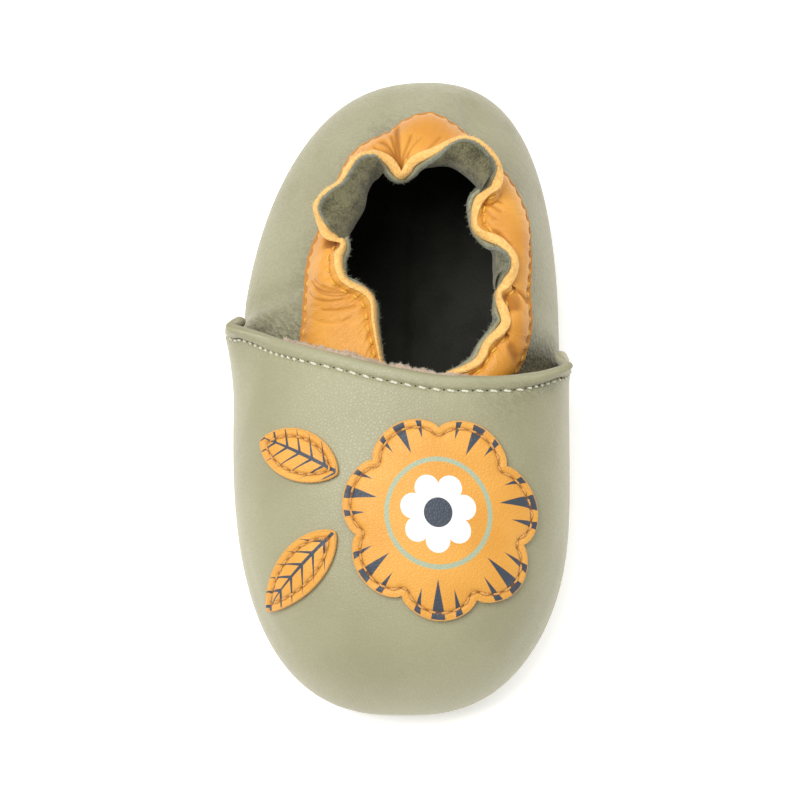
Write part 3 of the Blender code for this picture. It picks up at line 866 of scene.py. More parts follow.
def collar_leather():
    """Mustard leather: smooth and gathered, dull on the flange, furry on the raw edge, with painted shade in
    its creases and in the troughs of its gathers.
    """
    material, place, sockets = new_finish("mustard leather", SATIN)
    from_top, from_bottom = place.field("from_top"), place.field("from_bottom")
    strip = place.add("CombineXYZ", {}, {0: place.field("along") * 0.75, 1: from_bottom * 0.16})
    gathers = strip.noise(1.0, 3.0, 0.6)
    clouds = place.noise(0.09, 3.0).step(0.35, 0.65)
    pebbles = grain(place, 0.55)
    fluff = place.noise(2.4, 5.0, 0.75)
    smooth_side = clouds.mix(MUSTARD_DEEP, MUSTARD_TONE)
    flange = 1 - from_bottom.step(FLANGE_WIDTH - 0.5, FLANGE_WIDTH + 0.1)
    smooth_side = (flange * 0.8).mix(smooth_side, MUSTARD_FLANGE)
    # Painted shade: darker in the troughs of the gathers.
    smooth_side = ((1 - gathers.step(0.28, 0.5)) * 0.35).mix(smooth_side, MUSTARD_DEEP)
    raw_side = fluff.step(0.35, 0.6).mix(RAW_EDGE_DEEP, RAW_EDGE_TONE)
    # Painted shade: the leather darkens where its creases are deep.
    creases = place.field("creased")
    smooth_side = (creases * 0.8).mix(smooth_side, MUSTARD_CREASE_SHADE)
    raw = 1 - from_top.step(0.85, 1.1)
    height = pebbles * 0.03 + gathers * 0.35 + raw * fluff * 0.3 + flange * fluff * 0.12
    dress(sockets, raw.mix(smooth_side, raw_side), 0.45 + raw * 0.45 + flange * 0.15 + creases * 0.4, height)
    return material


edge_rows = np.array(COLLAR_EDGE_ROWS)
inner_rows = np.linspace(*COLLAR_INNER_SHARES, COLLAR_ROWS)
collar_shares = np.concatenate([edge_rows, inner_rows, 1 - edge_rows[::-1]])
collar_bearings = 180 + BEARING_STRETCH * (np.linspace(*QUARTER_TURNS, COLLAR_COLUMNS) - 180)
bearings, shares = np.meshgrid(collar_bearings, collar_shares)
collar_points = collar_surface(bearings, shares)
collar_facing = facing(collar_surface, bearings, shares)
from_bottom = along_line(collar_points)
from_top = from_bottom[-1] - from_bottom
casing = (from_bottom - FLANGE_WIDTH) / (from_bottom[-1] - FLANGE_WIDTH - RIM_SEAM)
collar_out = CASING_SWELL * np.sin(math.pi * np.clip(casing, 0, 1)) ** CASING_FULLNESS
collar_creases = creased(collar_points, COLLAR_CREASES, collar_surface)
collar_out -= collar_creases
collar_runs = []
for field, level in ((from_bottom, FLANGE_WIDTH), (-from_top, -RIM_SEAM)):
    seam_line, _ = level_line(collar_points, collar_facing, field, level)
    collar_runs.append(along_line(seam_line))
    collar_out -= SEAM_SINK * hump(field - level, SEAM_SINK_WIDTH)
    collar_out -= PUCKER_SINK * hump(field - level, PUCKER_REACH) * ripple(collar_runs[-1], COLLAR_PITCH)
collar_round = round_edge(np.minimum(from_top, from_bottom), COLLAR_EDGE)
collar_half = COLLAR_THICKNESS / 2 * collar_round
collar_shift = RIM_SHIFT * smooth((shares - COLLAR_FLANGE) / (1 - COLLAR_FLANGE))
collar_middle = COLLAR_STANDOFF + COLLAR_THICKNESS / 2 - collar_shift
collar_lift = collar_middle + collar_half + collar_out * collar_round
collar_skin = collar_points + collar_facing * collar_lift[..., None]
collar_shade = np.clip(CREASE_SHADE_GAIN * collar_creases - CREASE_SHADE_LOSS, 0, 1)
collar = sheet_piece(
    "collar_band",
    collar_skin,
    collar_points + collar_facing * (collar_middle - collar_half)[..., None],
    [collar_leather()],
    {
        "from_top": from_top,
        "from_bottom": from_bottom,
        "along": np.broadcast_to(collar_runs[0], bearings.shape),
        "creased": collar_shade,
    },
)
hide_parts("collar")
collar_seams = [
    (*level_line(collar_skin, collar_facing, from_bottom, FLANGE_WIDTH), collar_runs[0]),
    (*level_line(collar_skin, collar_facing, -from_top, -RIM_SEAM), collar_runs[1]),
]
yellow = thread("yellow thread", YELLOW_THREAD, YELLOW_DEEP)
brown_hole_shade = hollow("brown hole shade", BROWN_HOLE_SHADE, BROWN_HOLE_SHADE_PALE)
stitches = COLLAR_PITCH, COLLAR_STITCH_SHARE, COLLAR_THREAD_RADIUS, yellow, "mustard_leather"
sew("collar_thread", collar_seams, *stitches)
holes = COLLAR_PITCH, COLLAR_HOLE_SHARE, COLLAR_HOLE_WIDTH, brown_hole_shade, "dark_insole"
pierce("collar_needle_holes", collar_seams, *holes)


# Vamp.
# The toe panel of the same sage leather, with its top edge folded in and sewn down, so that the hem
# stands off the foot as a rounded lip with a raw flesh edge behind it.

VAMP_LATERAL_TURN = 118.0
VAMP_MEDIAL_TURN = 109.0
VAMP_SHOULDER = 0.66
VAMP_GAP = 0.5
HEM_STEPS = 3001
HEM_ROUNDING = 151
HEM_COLUMNS = 420
SEAM_SIDE_SPAN = 0.96
SEAM_SIDE_CROWDING = 1.25
COLUMN_STEPS = 201
SHORT_COLUMN = 12.0
ROW_CROWDING = 1.15
FLAP_THICKNESS = 0.8
FLAP_WIDTH = 4.0
FLAP_START = 0.35
FLAP_FADE = 0.5
HEM_SEAM = 2.8
HEM_SWELL = 0.15
HEM_SINK = 0.35
HEM_SINK_WIDTH = 0.4
HEM_PUCKER = 0.16
HEM_PUCKER_REACH = 1.0
HEM_PITCH = 2.5
HEM_THREAD_RADIUS = 0.25
HEM_STITCH_SHARE = 0.66
HEM_STITCH_SLANT = 0.12
HEM_HOLE_SHARE = 0.16
HEM_HOLE_WIDTH = 0.24
HEM_HOLE_ASIDE = 0.12
HEM_SEAM_START = 8
HEM_SEAM_ROUNDING = 13
BACK_TACKS = (-15.0, 21.5)
BACK_TACK_FADE = 3.0
FOLDED_IN = 0.9
HEM_DEPTHS = (
    *(0, 0.05, 0.15, 0.3, 0.5, 0.75, 1.05, 1.35, 1.65, 1.9, 2.1, 2.25, 2.4),
    *(2.5, 2.6, 2.7, 2.85, 3.0, 3.2, 3.5, 3.9),
)
VAMP_ROWS_BELOW = 56
FLESH_TONE = (0.40, 0.295, 0.225, 1)
FLESH_DEEP = (0.19, 0.135, 0.095, 1)
FLESH_NAP = 0.3
CREAM_THREAD = (0.70, 0.70, 0.55, 1)
CREAM_DEEP = (0.42, 0.41, 0.31, 1)
# Painted shade in the needle holes of the hem.
GREEN_HOLE_SHADE = (0.040, 0.037, 0.022, 1)
GREEN_HOLE_SHADE_PALE = (0.07, 0.065, 0.04, 1)

VampRow = namedtuple("VampRow", "side x y z handle_x handle_y handle_z")
VAMP_ROWS = [
    VampRow(-1.0, -31.4, 5.6, 38.0, 7.5, 3.7, -6.5),
    VampRow(-0.93, -28.6, 4.7, 38.3, -2.0, 1.8, -6.0),
    VampRow(-0.82, -23.6, 3.2, 38.6, -3.5, 1.0, -6.0),
    VampRow(-0.5, -10.5, -1.2, 40.9, -9.5, -13.0, -5.0),
    VampRow(0.0, 0.0, -4.4, 42.2, 0.0, -25.0, -6.0),
    VampRow(0.5, 10.5, -5.8, 41.6, 9.5, -13.0, -5.0),
    VampRow(0.82, 24.0, -4.5, 39.0, 3.5, 0.0, -6.0),
    VampRow(0.93, 29.0, -3.1, 38.1, 2.0, 1.0, -6.0),
    VampRow(1.0, 32.2, -1.9, 37.4, -6.5, 3.4, -6.0),
]


def vamp_surface(side, rise):
    """Inner face of the vamp. Side runs from -1, the lateral hem, to +1, the medial hem."""
    turn = np.where(side < 0, VAMP_LATERAL_TURN, VAMP_MEDIAL_TURN) * side
    top = np.stack([through(VAMP_ROWS, "side", axis, side) for axis in ("x", "y", "z")], -1)
    handle = np.stack([through(VAMP_ROWS, "side", "handle_" + axis, side) for axis in ("x", "y", "z")], -1)
    girth = with_height(outline(turn, VAMP_GAP), girth_height(turn))
    rise_handle = np.zeros_like(girth)
    rise_handle[..., 2] = VAMP_SHOULDER * (top - girth)[..., 2]
    low = tucked_wall(turn, rise / GIRTH_SHARE, VAMP_GAP)
    over = bend(girth, rise_handle, handle, top, (rise - GIRTH_SHARE) / (1 - GIRTH_SHARE))
    return np.where((rise < GIRTH_SHARE)[..., None], low, over)


VAMP_CREASES = [
    CreaseRow(0.84, 0.84, 0.93, 0.95, 2.2, 0.45),
    CreaseRow(0.95, 0.72, 0.97, 0.92, 1.8, 0.40),
    CreaseRow(-0.80, 0.70, -0.90, 0.90, 2.8, 0.30),
    CreaseRow(-0.62, 0.62, -0.70, 0.84, 2.4, -0.20),
    CreaseRow(-0.36, 0.40, -0.20, 0.36, 2.0, 0.15),
    CreaseRow(0.22, 0.36, 0.40, 0.40, 2.4, 0.15),
]
# A patch of wrinkled leather below the medial part of the hem, darkened there with painted shade.
VAMP_PINCH_AND_SHADE_PATCHES = [PinchRow(0.75, 0.86, 0.25, 0.10, 0.35)]


def eased(values, span, mode="edge", **ends):
    """Values along a line, smoothed over a span of its steps."""
    window = np.hanning(span) / np.hanning(span).sum()
    return np.convolve(np.pad(values, span // 2, mode, **ends), window, "valid")


# The hem runs up one side of the vamp, over the instep and down the other side.
hem_steps = np.linspace(0, 3, HEM_STEPS)
hem_sides = np.clip(2 * hem_steps - 3, -1, 1)
hem_rises = np.clip(np.minimum(hem_steps, 3 - hem_steps), 0, 1)
hem_sides = eased(hem_sides, HEM_ROUNDING)
hem_rises = eased(hem_rises, HEM_ROUNDING, "reflect", reflect_type="odd")
fine_run = along_line(vamp_surface(hem_sides, hem_rises))
hem_run = np.linspace(0, fine_run[-1], HEM_COLUMNS)
hem_sides = np.interp(hem_run, fine_run, hem_sides)
hem_rises = np.interp(hem_run, fine_run, hem_rises)
hem_line = vamp_surface(hem_sides, hem_rises)
hem_shares = np.linspace(-1, 1, HEM_COLUMNS)
seam_sides = SEAM_SIDE_SPAN * np.sign(hem_shares) * np.abs(hem_shares) ** SEAM_SIDE_CROWDING

# Columns lead from the hem to the sole seam. Rows crowd at the hem, by their distance from it.
column_shares = np.linspace(0, 1, COLUMN_STEPS)[:, None]
column_sides = hem_sides + (seam_sides - hem_sides) * column_shares
columns = vamp_surface(column_sides, hem_rises * (1 - column_shares))
column_runs = along_line(columns)
depths = np.array(HEM_DEPTHS)[:, None] * np.clip(column_runs[-1] / SHORT_COLUMN, 0, 1)
below = np.linspace(0, 1, VAMP_ROWS_BELOW + 1)[1:, None] ** ROW_CROWDING
vamp_depths = np.concatenate([depths, depths[-1] + (column_runs[-1] - depths[-1]) * below])
vamp_shares = np.empty_like(vamp_depths)
for column in range(HEM_COLUMNS):
    vamp_shares[:, column] = np.interp(vamp_depths[:, column], column_runs[:, column], column_shares[:, 0])
sides = hem_sides + (seam_sides - hem_sides) * vamp_shares
rises = hem_rises * (1 - vamp_shares)
vamp_points = vamp_surface(sides, rises)
vamp_facing = unit(np.cross(np.gradient(vamp_points, axis=0), np.gradient(vamp_points, axis=1)))
from_hem = distance_to(vamp_points, hem_line)

# The seam keeps its distance from the hem and takes the corners in a wider turn than the hem does.
seam_places, _ = level_line(np.stack([sides, rises], -1), vamp_facing, from_hem, HEM_SEAM)
seam_side, seam_rise = (eased(seam_places[:, axis], HEM_SEAM_ROUNDING) for axis in (0, 1))
seam_ground = vamp_surface(seam_side, seam_rise)
seam_facing = facing(vamp_surface, seam_side, seam_rise)
back_tacked = smooth((BACK_TACKS[0] - seam_ground[:, 0]) / BACK_TACK_FADE)
back_tacked += smooth((seam_ground[:, 0] - BACK_TACKS[1]) / BACK_TACK_FADE)
seam_steps = np.diff(along_line(seam_ground)) * (1 + 0.5 * (back_tacked[1:] + back_tacked[:-1]))
seam_count = np.concatenate([[0], np.cumsum(seam_steps)])
from_seam = distance_to(vamp_points, seam_ground)

swell = HEM_SWELL * np.sin(math.pi * np.clip(from_hem / HEM_SEAM, 0, 1))
furrow = HEM_SINK * hump(from_seam, HEM_SINK_WIDTH)
puckers = HEM_PUCKER * hump(from_seam, HEM_PUCKER_REACH) * ripple(seam_count, HEM_PITCH)
puckers += sole_puckers(along_line(vamp_points[-1]), rises)
vamp_relief = swell - furrow - puckers - creased(vamp_points, VAMP_CREASES, vamp_surface)
flap = FLAP_THICKNESS * smooth(rises / FLAP_START) * (1 - smooth((from_hem - FLAP_WIDTH) / FLAP_FADE))
vamp_half = (LEATHER_THICKNESS + flap) / 2
vamp_middle = LEATHER_THICKNESS - vamp_half
vamp_round = round_edge(from_hem, vamp_half)
vamp_out = vamp_middle + (vamp_half + vamp_relief) * vamp_round
vamp_skin = vamp_points + vamp_facing * vamp_out[..., None]
vamp_pinch_and_shade = pinch(sides, rises, VAMP_PINCH_AND_SHADE_PATCHES)
folded_in = ("from_hem", FOLDED_IN, SAGE_TONE, SAGE_DEEP)
flesh = suede("flesh side", FLESH_TONE, FLESH_DEEP, FLESH_NAP, folded_in)
vamp = sheet_piece(
    "vamp_leather",
    vamp_skin,
    vamp_points + vamp_facing * (vamp_middle - vamp_half * vamp_round)[..., None],
    [sage, flesh],
    {"pinch_and_shade": np.clip(vamp_pinch_and_shade, 0, 1), "from_hem": from_hem},
)
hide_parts("upper_vamp")
sewn = slice(HEM_SEAM_START, -HEM_SEAM_START)
seam_line = seam_ground + seam_facing * (LEATHER_THICKNESS - HEM_SINK)
hem_seams = [(seam_line[sewn], seam_facing[sewn], seam_count[sewn])]
cream = thread("cream thread", CREAM_THREAD, CREAM_DEEP)
green_hole_shade = hollow("green hole shade", GREEN_HOLE_SHADE, GREEN_HOLE_SHADE_PALE)
stitches = HEM_PITCH, HEM_STITCH_SHARE, HEM_THREAD_RADIUS, cream, "sage_leather", HEM_STITCH_SLANT
sew("hem_thread", hem_seams, *stitches)
holes = HEM_PITCH, HEM_HOLE_SHARE, HEM_HOLE_WIDTH, green_hole_shade, "dark_insole", HEM_HOLE_ASIDE
pierce("hem_needle_holes", hem_seams, *holes)


# Raw flesh edge.
# The cut edge of the turned-in hem, showing a little above the fold over the collar: a ragged
# pinkish suede edge with loose fibres.

RAW_STRIP_SHARES = (0.345, 0.62)
RAW_STRIP_DROP = 2.5
RAW_STRIP_RISE = 0.62
RAW_STRIP_HALF = 0.3
RAW_STRIP_LIFT = -1.1
RAW_STRIP_HIDDEN = 0.2
RAW_STRIP_FADE = 8.0
RAW_STRIP_ROWS = (0, 0.3, 0.6, 0.8, 0.9, 0.96, 1.0)
RAW_STRIP_NAP = 0.3
RAGGED_DEPTH = 0.32
RAGGED_NICK = 0.15
RAGGED_WAVES = ((0.9, 0.0), (0.37, 1.0), (4.1, 0.0))
FOLD_ROW = 4
RAW_STRIP_TONE = (0.58, 0.45, 0.33, 1)
RAW_STRIP_DEEP = (0.36, 0.26, 0.18, 1)
HEM_FIBRES = 3200
HEM_FIBRE_TONE = (0.62, 0.55, 0.45, 1)
HEM_FIBRE_LENGTH = 0.36
HEM_FIBRE_RADIUS = 0.04
HEM_FIBRE_SPREAD = 0.7
HEM_FIBRE_DEPTH = 0.15
HEM_FIBRE_LEAN = 0.3
FIBRE_NAP = 0.02
FIBRE_SIDES = 3
FIBRE_CURL = 0.35
FIBRE_SHORTEST = 0.4
FIBRE_VARIETY = 1.2
FIBRE_RINGS = ((0.0, 0.0), (0.3, 1.0), (0.7, 0.7), (1.0, 0.0))
rng = np.random.default_rng(7)


def fuzz(name, roots, outward, length, radius, spread, material, slot):
    """Loose fibres of a raw leather edge, as one mesh of thin bent spindles."""
    count = len(roots)
    way = unit(outward + rng.normal(0, spread, (count, 3)))
    curl = rng.normal(0, FIBRE_CURL, (count, 3))
    span = length * (FIBRE_SHORTEST + FIBRE_VARIETY * rng.random(count) ** 2)
    first = unit(np.cross(way, curl))
    second = np.cross(way, first)
    turn = 2 * math.pi * np.arange(FIBRE_SIDES)[:, None] / FIBRE_SIDES
    section = np.cos(turn) * first[:, None] + np.sin(turn) * second[:, None]
    rings = []
    for share, girth in FIBRE_RINGS:
        middle = roots + span[:, None] * (way * share + curl * share**2)
        rings.append(middle[:, None] + radius * girth * section)
    points = np.stack(rings, 1)
    return make_piece(name, points.reshape(-1, 3), ring_faces(points), 0, [material], {})


chosen = slice(*(int(share * HEM_COLUMNS) for share in RAW_STRIP_SHARES))
strip_edge = hem_line[chosen]
strip_out = unit(vamp_points[0, chosen] - vamp_points[FOLD_ROW, chosen])
strip_up = vamp_facing[FOLD_ROW, chosen]
strip_run = hem_run[chosen]
wave, drift, nick = (np.sin(strip_run * pace + phase) for pace, phase in RAGGED_WAVES)
ragged = RAGGED_DEPTH * wave * drift + RAGGED_NICK * nick
from_ends = np.minimum(strip_run - strip_run[0], strip_run[-1] - strip_run)
fade = smooth(from_ends / RAW_STRIP_FADE)
strip_top = (RAW_STRIP_RISE + RAW_STRIP_HIDDEN + ragged) * fade - RAW_STRIP_HIDDEN
strip_reach = -RAW_STRIP_DROP + (strip_top + RAW_STRIP_DROP) * np.array(RAW_STRIP_ROWS)[:, None]
strip_points = strip_edge + strip_out * strip_reach[..., None] + strip_up * RAW_STRIP_LIFT
strip_half = RAW_STRIP_HALF * round_edge(strip_top - strip_reach, RAW_STRIP_HALF)[..., None]
sheet_piece(
    "hem_raw_edge",
    strip_points + strip_up * strip_half,
    strip_points - strip_up * strip_half,
    [suede("raw hem suede", RAW_STRIP_TONE, RAW_STRIP_DEEP, RAW_STRIP_NAP)],
    {},
)
at = rng.random(HEM_FIBRES) * (strip_run[-1] - strip_run[0]) + strip_run[0]
hem_roots = read_line(strip_points[-1] - HEM_FIBRE_DEPTH * strip_out, strip_run, at)
hem_ways = read_line(strip_out + HEM_FIBRE_LEAN * strip_up, strip_run, at)
hem_fluff = suede("hem fibres", HEM_FIBRE_TONE, RAW_STRIP_TONE, FIBRE_NAP)
hem_fibres = HEM_FIBRE_LENGTH, HEM_FIBRE_RADIUS, HEM_FIBRE_SPREAD, hem_fluff, "sage_leather"
fuzz("hem_fibres", hem_roots, hem_ways, *hem_fibres)


# Fibres of the rim.
# The collar's band and the lining behind it are cut raw at the rim, so both edges are a little hairy.

RIM_FIBRES = 3000
RAW_EDGE_FIBRE = (0.95, 0.63, 0.24, 1)
LINING_FIBRE = (0.33, 0.325, 0.235, 1)
RIM_FIBRE_RADIUS = 0.035
RIM_FIBRE_SPREAD = 0.45
RIM_FIBRE_ASIDE = 0.45
RIM_FIBRE_DEPTH = 0.2
BELOW_RIM = -9

rim_fluff = suede("rim fibres", RAW_EDGE_FIBRE, RAW_EDGE_DEEP, FIBRE_NAP)
lining_fluff = suede("lining fibres", LINING_FIBRE, LINING_TONE, FIBRE_NAP)
collar_edge = collar_points[-1] + collar_facing[-1] * collar_middle[-1][:, None]
lining_edge = quarter_points[-1] + quarter_facing[-1] * quarter_lift[-1][:, None]
for name, edge, points, outside, length, fluff, slot in (
    ("rim_fibres", collar_edge, collar_points, collar_facing[-1], 0.35, rim_fluff, "mustard_leather"),
    ("lining_fibres", lining_edge, quarter_points, quarter_facing[-1], 0.5, lining_fluff, "sage_leather"),
):
    way = unit(edge - points[BELOW_RIM])
    run = along_line(edge)
    at = rng.random(RIM_FIBRES) * run[-1]
    across = rng.uniform(-RIM_FIBRE_ASIDE, RIM_FIBRE_ASIDE, (RIM_FIBRES, 1)) * read_line(outside, run, at)
    roots = read_line(edge - RIM_FIBRE_DEPTH * way, run, at) + across
    ways = read_line(way, run, at) + across
    fuzz(name, roots, ways, length, RIM_FIBRE_RADIUS, RIM_FIBRE_SPREAD, fluff, slot)


# Sewn-on flower and leaves.
# Shapes cut from orange leather and sewn flat on the vamp, a little inside their raw edges. The
# petals and veins are printed in navy, white and sage.

FLOWER_CENTRE = (8.0, -30.0)
FLOWER_RADIUS = 17.0
FLOWER_PETALS = 7
PETAL_COLUMNS = 24
PETAL_DEPTH = 0.13
PETAL_ROUNDNESS = 0.7
LEAF_LENGTH = 16.0
LEAF_WIDTH = 8.5
LEAF_POINT = 0.4
LEAF_COLUMNS = 97
APPLIQUE_THICKNESS = 1.0
APPLIQUE_STANDOFF = 0.05
APPLIQUE_EDGE = 0.35
APPLIQUE_SEAM = 1.5
APPLIQUE_SINK = 0.3
APPLIQUE_SINK_WIDTH = 0.35
APPLIQUE_SWELL = 0.14
APPLIQUE_SWELL_REACH = 5.0
APPLIQUE_PUCKER = 0.14
APPLIQUE_PUCKER_REACH = 0.9
APPLIQUE_HOLE_SHARE = 0.3
APPLIQUE_HOLE_WIDTH = 0.35
APPLIQUE_PITCH = 2.3
APPLIQUE_THREAD_RADIUS = 0.2
APPLIQUE_STITCH_SHARE = 0.72
APPLIQUE_EDGE_SHARES = (1.0, 0.994, 0.985, 0.97, 0.955, 0.94, 0.925, 0.91, 0.895, 0.88, 0.86, 0.84)
APPLIQUE_INNER_SHARE = 0.82
APPLIQUE_INNER_ROWS = 20
SEARCH_SIDES = (-0.95, 0.95, 39)
SEARCH_RISES = (0.35, 0.98, 22)
SEARCH_ROUNDS = 8
ORANGE_TONE = (0.70, 0.340, 0.058, 1)
ORANGE_DEEP = (0.64, 0.290, 0.040, 1)
ORANGE_EDGE = (0.74, 0.40, 0.12, 1)
# Painted shade in the groove of the seam.
ORANGE_GROOVE_SHADE = (0.20, 0.075, 0.015, 1)
ORANGE_THREAD = (0.72, 0.37, 0.10, 1)
ORANGE_THREAD_DEEP = (0.43, 0.20, 0.045, 1)
NAVY = (0.040, 0.050, 0.068, 1)
WHITE = (0.80, 0.80, 0.78, 1)
PALE_SAGE = (0.34, 0.40, 0.27, 1)

LeafRow = namedtuple("LeafRow", "name node x y heading")
LEAF_ROWS = [
    LeafRow("leaf_front_leather", "applique_leaf_front", -16.0, -37.8, 310.0),
    LeafRow("leaf_back_leather", "applique_leaf_back", -16.5, -19.0, 240.0),
]


def on_vamp(plan):
    """Points of the vamp's outer face above places in plan, and the way it faces there."""

    def place(side, rise):
        return vamp_surface(side, rise) + facing(vamp_surface, side, rise) * LEATHER_THICKNESS

    side, rise = np.meshgrid(np.linspace(*SEARCH_SIDES), np.linspace(*SEARCH_RISES), indexing="ij")
    side, rise = side.ravel(), rise.ravel()
    near = place(side, rise)[:, :2]
    nearest = np.argmin(np.linalg.norm(near - plan[:, None], axis=-1), axis=1)
    side, rise = side[nearest], rise[nearest]
    for _ in range(SEARCH_ROUNDS):
        here = place(side, rise)[:, :2]
        by_side = (place(side + SURFACE_STEP, rise)[:, :2] - here) / SURFACE_STEP
        by_rise = (place(side, rise + SURFACE_STEP)[:, :2] - here) / SURFACE_STEP
        moves = np.linalg.solve(np.stack([by_side, by_rise], -1), (plan - here)[..., None])[..., 0]
        side, rise = side + moves[:, 0], rise + moves[:, 1]
    return place(side, rise), facing(vamp_surface, side, rise)


def flower_edge(around):
    """A round flower with scalloped petals."""
    turn = 2 * math.pi * around
    swell = np.abs(np.cos(FLOWER_PETALS * turn / 2)) ** PETAL_ROUNDNESS
    reach = FLOWER_RADIUS * (1 - PETAL_DEPTH + PETAL_DEPTH * swell)
    return np.stack([np.sin(turn) * reach, -np.cos(turn) * reach], -1)


def leaf_axes(heading):
    """Directions along a leaf and across it."""
    ahead = np.array([math.sin(math.radians(heading)), -math.cos(math.radians(heading))])
    return ahead, np.array([-ahead[1], ahead[0]])


def leaf_edge(heading):
    """A pointed leaf lying along a heading."""
    ahead, beside = leaf_axes(heading)

    def edge_at(around):
        turn = 2 * math.pi * around
        along = np.cos(turn) * LEAF_LENGTH / 2
        across = np.sin(turn) * np.abs(np.sin(turn)) ** LEAF_POINT * LEAF_WIDTH / 2
        return along[:, None] * ahead + across[:, None] * beside

    return edge_at


def applique(name, node, centre, edge_at, columns, material):
    """A leather shape on the vamp with its stitches and needle holes."""
    inner_shares = np.linspace(APPLIQUE_INNER_SHARE, 0, APPLIQUE_INNER_ROWS)
    shares = np.concatenate([APPLIQUE_EDGE_SHARES, inner_shares])
    edge = edge_at(np.linspace(0, 1, columns))
    plan = np.asarray(centre) + shares[:, None, None] * edge
    ground, directions = (grid.reshape(*plan.shape[:2], 3) for grid in on_vamp(plan.reshape(-1, 2)))
    from_edge = distance_to(ground, ground[0])
    run = along_line(ground[0])
    pitch = run[-1] / round(run[-1] / APPLIQUE_PITCH)
    rounded = round_edge(from_edge, APPLIQUE_EDGE)
    from_seam = from_edge - APPLIQUE_SEAM
    relief = APPLIQUE_SWELL * smooth(from_edge / APPLIQUE_SWELL_REACH)
    relief -= APPLIQUE_SINK * hump(from_seam, APPLIQUE_SINK_WIDTH)
    relief -= APPLIQUE_PUCKER * ripple(run, pitch) * hump(from_seam, APPLIQUE_PUCKER_REACH)
    middle = APPLIQUE_STANDOFF + APPLIQUE_THICKNESS / 2
    half = APPLIQUE_THICKNESS / 2 * rounded
    top = ground + directions * (middle + half + relief * rounded)[..., None]
    bottom = ground + directions * (middle - half)[..., None]
    piece = sheet_piece(name, top, bottom, [material], {"from_edge": from_edge}, wrap=True)
    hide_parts(node)
    seam = (*level_line(top, directions, from_edge, APPLIQUE_SEAM), run)
    stitches = APPLIQUE_STITCH_SHARE, APPLIQUE_THREAD_RADIUS, orange, "orange_leather"
    sew(name + "_thread", [seam], pitch, *stitches)
    holes = APPLIQUE_HOLE_SHARE, APPLIQUE_HOLE_WIDTH, brown_hole_shade, "dark_insole"
    pierce(name + "_holes", [seam], pitch, *holes)


def orange_leather(name, print_on):
    """Orange leather with a raw edge, a sunk seam darkened with painted shade, and a print worked out from
    the place on the shape.
    """
    material, place, sockets = new_finish(name, SATIN)
    from_edge = place.field("from_edge")
    pebbles = grain(place, 0.6)
    clouds = place.noise(0.08, 3.0).step(0.35, 0.65)
    colour = ((1 - pebbles) * 0.2).mix(clouds.mix(ORANGE_DEEP, ORANGE_TONE), ORANGE_DEEP)
    colour = print_on(place, colour)
    # Painted shade in the groove that the seam sinks into the leather.
    groove_shade = 1 - abs(from_edge - APPLIQUE_SEAM).step(0.1, 0.42)
    colour = (groove_shade * 0.55).mix(colour, ORANGE_GROOVE_SHADE)
    raw = 1 - from_edge.step(0.2, 0.42)
    fluff = place.noise(2.4, 4.0)
    height = pebbles * 0.035 + place.noise(0.5, 4.0) * 0.03 + raw * fluff * 0.2
    dress(sockets, raw.mix(colour, fluff.mix(ORANGE_DEEP, ORANGE_EDGE)), 0.47 + raw * 0.4, height)
    return material


def plan_axis(place, centre, direction):
    """Distance in plan from a centre along a direction, as a value of a material."""
    inputs = {0: place, 1: (*direction, 0.0)}
    along = place.add("VectorMath", {"operation": "DOT_PRODUCT"}, inputs, out="Value")
    origin = np.asarray(centre) - FRAME_ORIGIN[:2]
    return along - float(origin @ np.asarray(direction))


MarkRow = namedtuple("MarkRow", "offset inner width")
PETAL_MARKS = [
    MarkRow(0.0, 10.8, 1.0),
    MarkRow(0.25, 12.6, 0.8),
    MarkRow(-0.25, 12.6, 0.8),
]
MARK_LENGTH = 5.0
RING_RADIUS = 9.0
RING_HALF = 0.42
EYE_RADIUS = 4.7
EYE_LOBES = 2.0
EYE_ROUNDNESS = 0.6
EYE_MIDDLE = 2.5


def flower_print(place, colour):
    """Navy petal marks, a sage ring and a white lobed eye with a navy middle."""
    across = plan_axis(place, FLOWER_CENTRE, (1.0, 0.0))
    along = plan_axis(place, FLOWER_CENTRE, (0.0, -1.0))
    reach = (across * across + along * along) ** 0.5
    turn = across.maths("ARCTAN2", across, along) * (FLOWER_PETALS / (2 * math.pi))
    for row in PETAL_MARKS:
        petal = turn.maths("FRACT", turn + (0.5 + row.offset + FLOWER_PETALS)) - 0.5
        beside = abs(petal) * reach * (2 * math.pi / FLOWER_PETALS)
        mark = (reach - row.inner) * (row.width / MARK_LENGTH) - beside
        colour = mark.step(-0.04, 0.08).mix(colour, NAVY)
    ring = RING_HALF - abs(reach - RING_RADIUS)
    colour = ring.step(-0.05, 0.08).mix(colour, PALE_SAGE)
    lobes = abs(turn.maths("COSINE", turn * math.pi)) ** EYE_ROUNDNESS
    colour = (lobes * EYE_LOBES + EYE_RADIUS - reach).step(-0.06, 0.06).mix(colour, WHITE)
    return (EYE_MIDDLE - reach).step(-0.06, 0.06).mix(colour, NAVY)


RIB_HALF = 0.32
RIB_TAPER = 0.03
VEIN_PITCH = 2.6
VEIN_SLANT = 0.8
VEIN_HALF = 0.13
VEIN_TAPER = 0.03


def leaf_print(row):
    """A navy midrib and side veins along a leaf."""
    ahead, beside = leaf_axes(row.heading)

    def print_on(place, colour):
        along = plan_axis(place, (row.x, row.y), ahead)
        aside = abs(plan_axis(place, (row.x, row.y), beside))
        rib = RIB_HALF - aside - along.maths("MAXIMUM", along, 0.0) * RIB_TAPER
        colour = rib.step(-0.05, 0.08).mix(colour, NAVY)
        vein = (along - aside * VEIN_SLANT) / VEIN_PITCH
        vein = VEIN_HALF - vein.maths("PINGPONG", vein, 0.5) - aside * VEIN_TAPER
        return vein.step(-0.01, 0.03).mix(colour, NAVY)

    return print_on


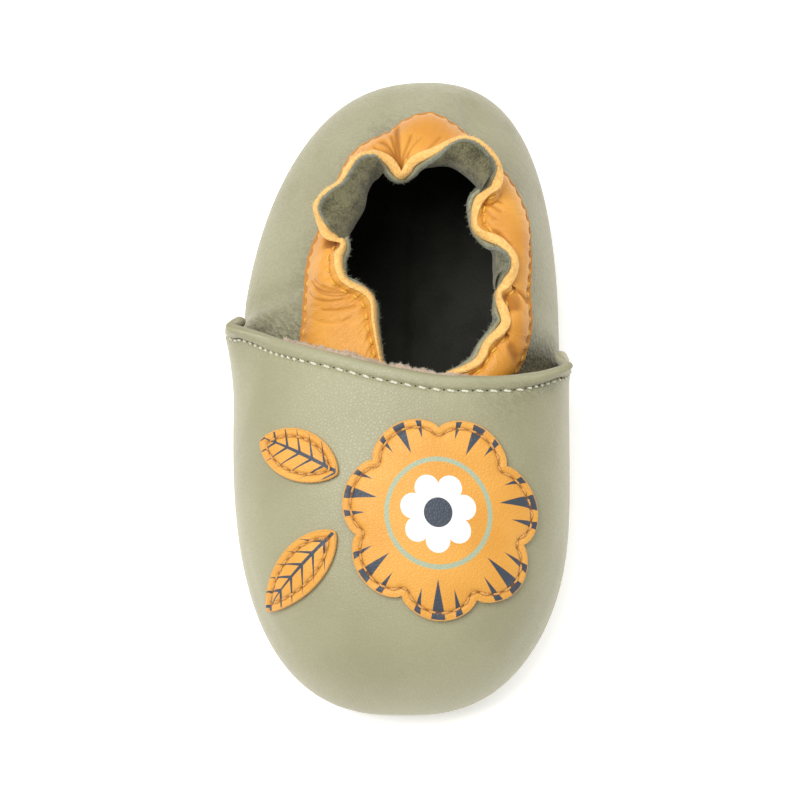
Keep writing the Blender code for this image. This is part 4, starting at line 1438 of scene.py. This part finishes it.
orange = thread("orange thread", ORANGE_THREAD, ORANGE_THREAD_DEEP)
flower_finish = orange_leather("flower leather", flower_print)
flower_columns = PETAL_COLUMNS * FLOWER_PETALS + 1
applique("flower_leather", "applique_flower", FLOWER_CENTRE, flower_edge, flower_columns, flower_finish)
for row in LEAF_ROWS:
    leaf_finish = orange_leather(row.name, leaf_print(row))
    applique(row.name, row.node, (row.x, row.y), leaf_edge(row.heading), LEAF_COLUMNS, leaf_finish)


# Floor, light and camera.
# A plain pale floor under soft light, seen from above the toe as a shop would show it.

CAMERA_PLACE = (34.41, -239.15, 614.96)
CAMERA_AIM = (0.31, -3.48, 20.0)
CAMERA_LENS = 158.4
CAMERA_SENSOR = 36.0
SKY_STRENGTH = 0.5
FLOOR_HALF = 3.0
FLOOR_FINISH = {
    "Base Color": (0.95, 0.95, 0.94, 1),
    "Roughness": 0.8,
    "Emission Color": (1, 1, 1, 1),
    "Emission Strength": 0.4,
}

floor_mesh = bpy.data.meshes.new("floor")
floor_corners = [(FLOOR_HALF * x, FLOOR_HALF * y, 0) for x, y in ((-1, -1), (1, -1), (1, 1), (-1, 1))]
floor_mesh.from_pydata(floor_corners, [], [(0, 1, 2, 3)])
floor = bpy.data.objects.new("floor", floor_mesh)
bpy.context.scene.collection.objects.link(floor)
floor_mesh.materials.append(new_finish("pale floor", FLOOR_FINISH)[0])

world = bpy.data.worlds.new("studio")
bpy.context.scene.world = world
world.use_nodes = True
sky = world.node_tree.nodes["Background"].inputs
sky["Color"].default_value = (1, 1, 1, 1)
sky["Strength"].default_value = SKY_STRENGTH

LampRow = namedtuple("LampRow", "name place power size")
for row in [
    LampRow("key", (-0.35, -0.05, 1.1), 13.0, 0.7),
    LampRow("fill", (0.5, 0.45, 1.0), 3.5, 0.8),
]:
    lamp = bpy.data.lights.new(row.name, "AREA")
    lamp.energy = row.power
    lamp.size = row.size
    holder = bpy.data.objects.new(row.name, lamp)
    holder.location = row.place
    holder.rotation_euler = Vector(row.place).to_track_quat("Z", "Y").to_euler()
    bpy.context.scene.collection.objects.link(holder)

bpy.context.scene.view_settings.view_transform = "Standard"
lens = bpy.data.cameras.new("camera")
lens.sensor_width = CAMERA_SENSOR
lens.lens = CAMERA_LENS
camera = bpy.data.objects.new("camera", lens)
bpy.context.scene.collection.objects.link(camera)
look = (Vector(CAMERA_AIM) - Vector(CAMERA_PLACE)).normalized()
right = (Vector((1, 0, 0)) - look * look.x).normalized()
turned = Matrix((right, right.cross(look), -look)).transposed()
camera.matrix_world = Matrix.Translation(Vector(CAMERA_PLACE) * MM) @ turned.to_4x4()
bpy.context.scene.camera = camera
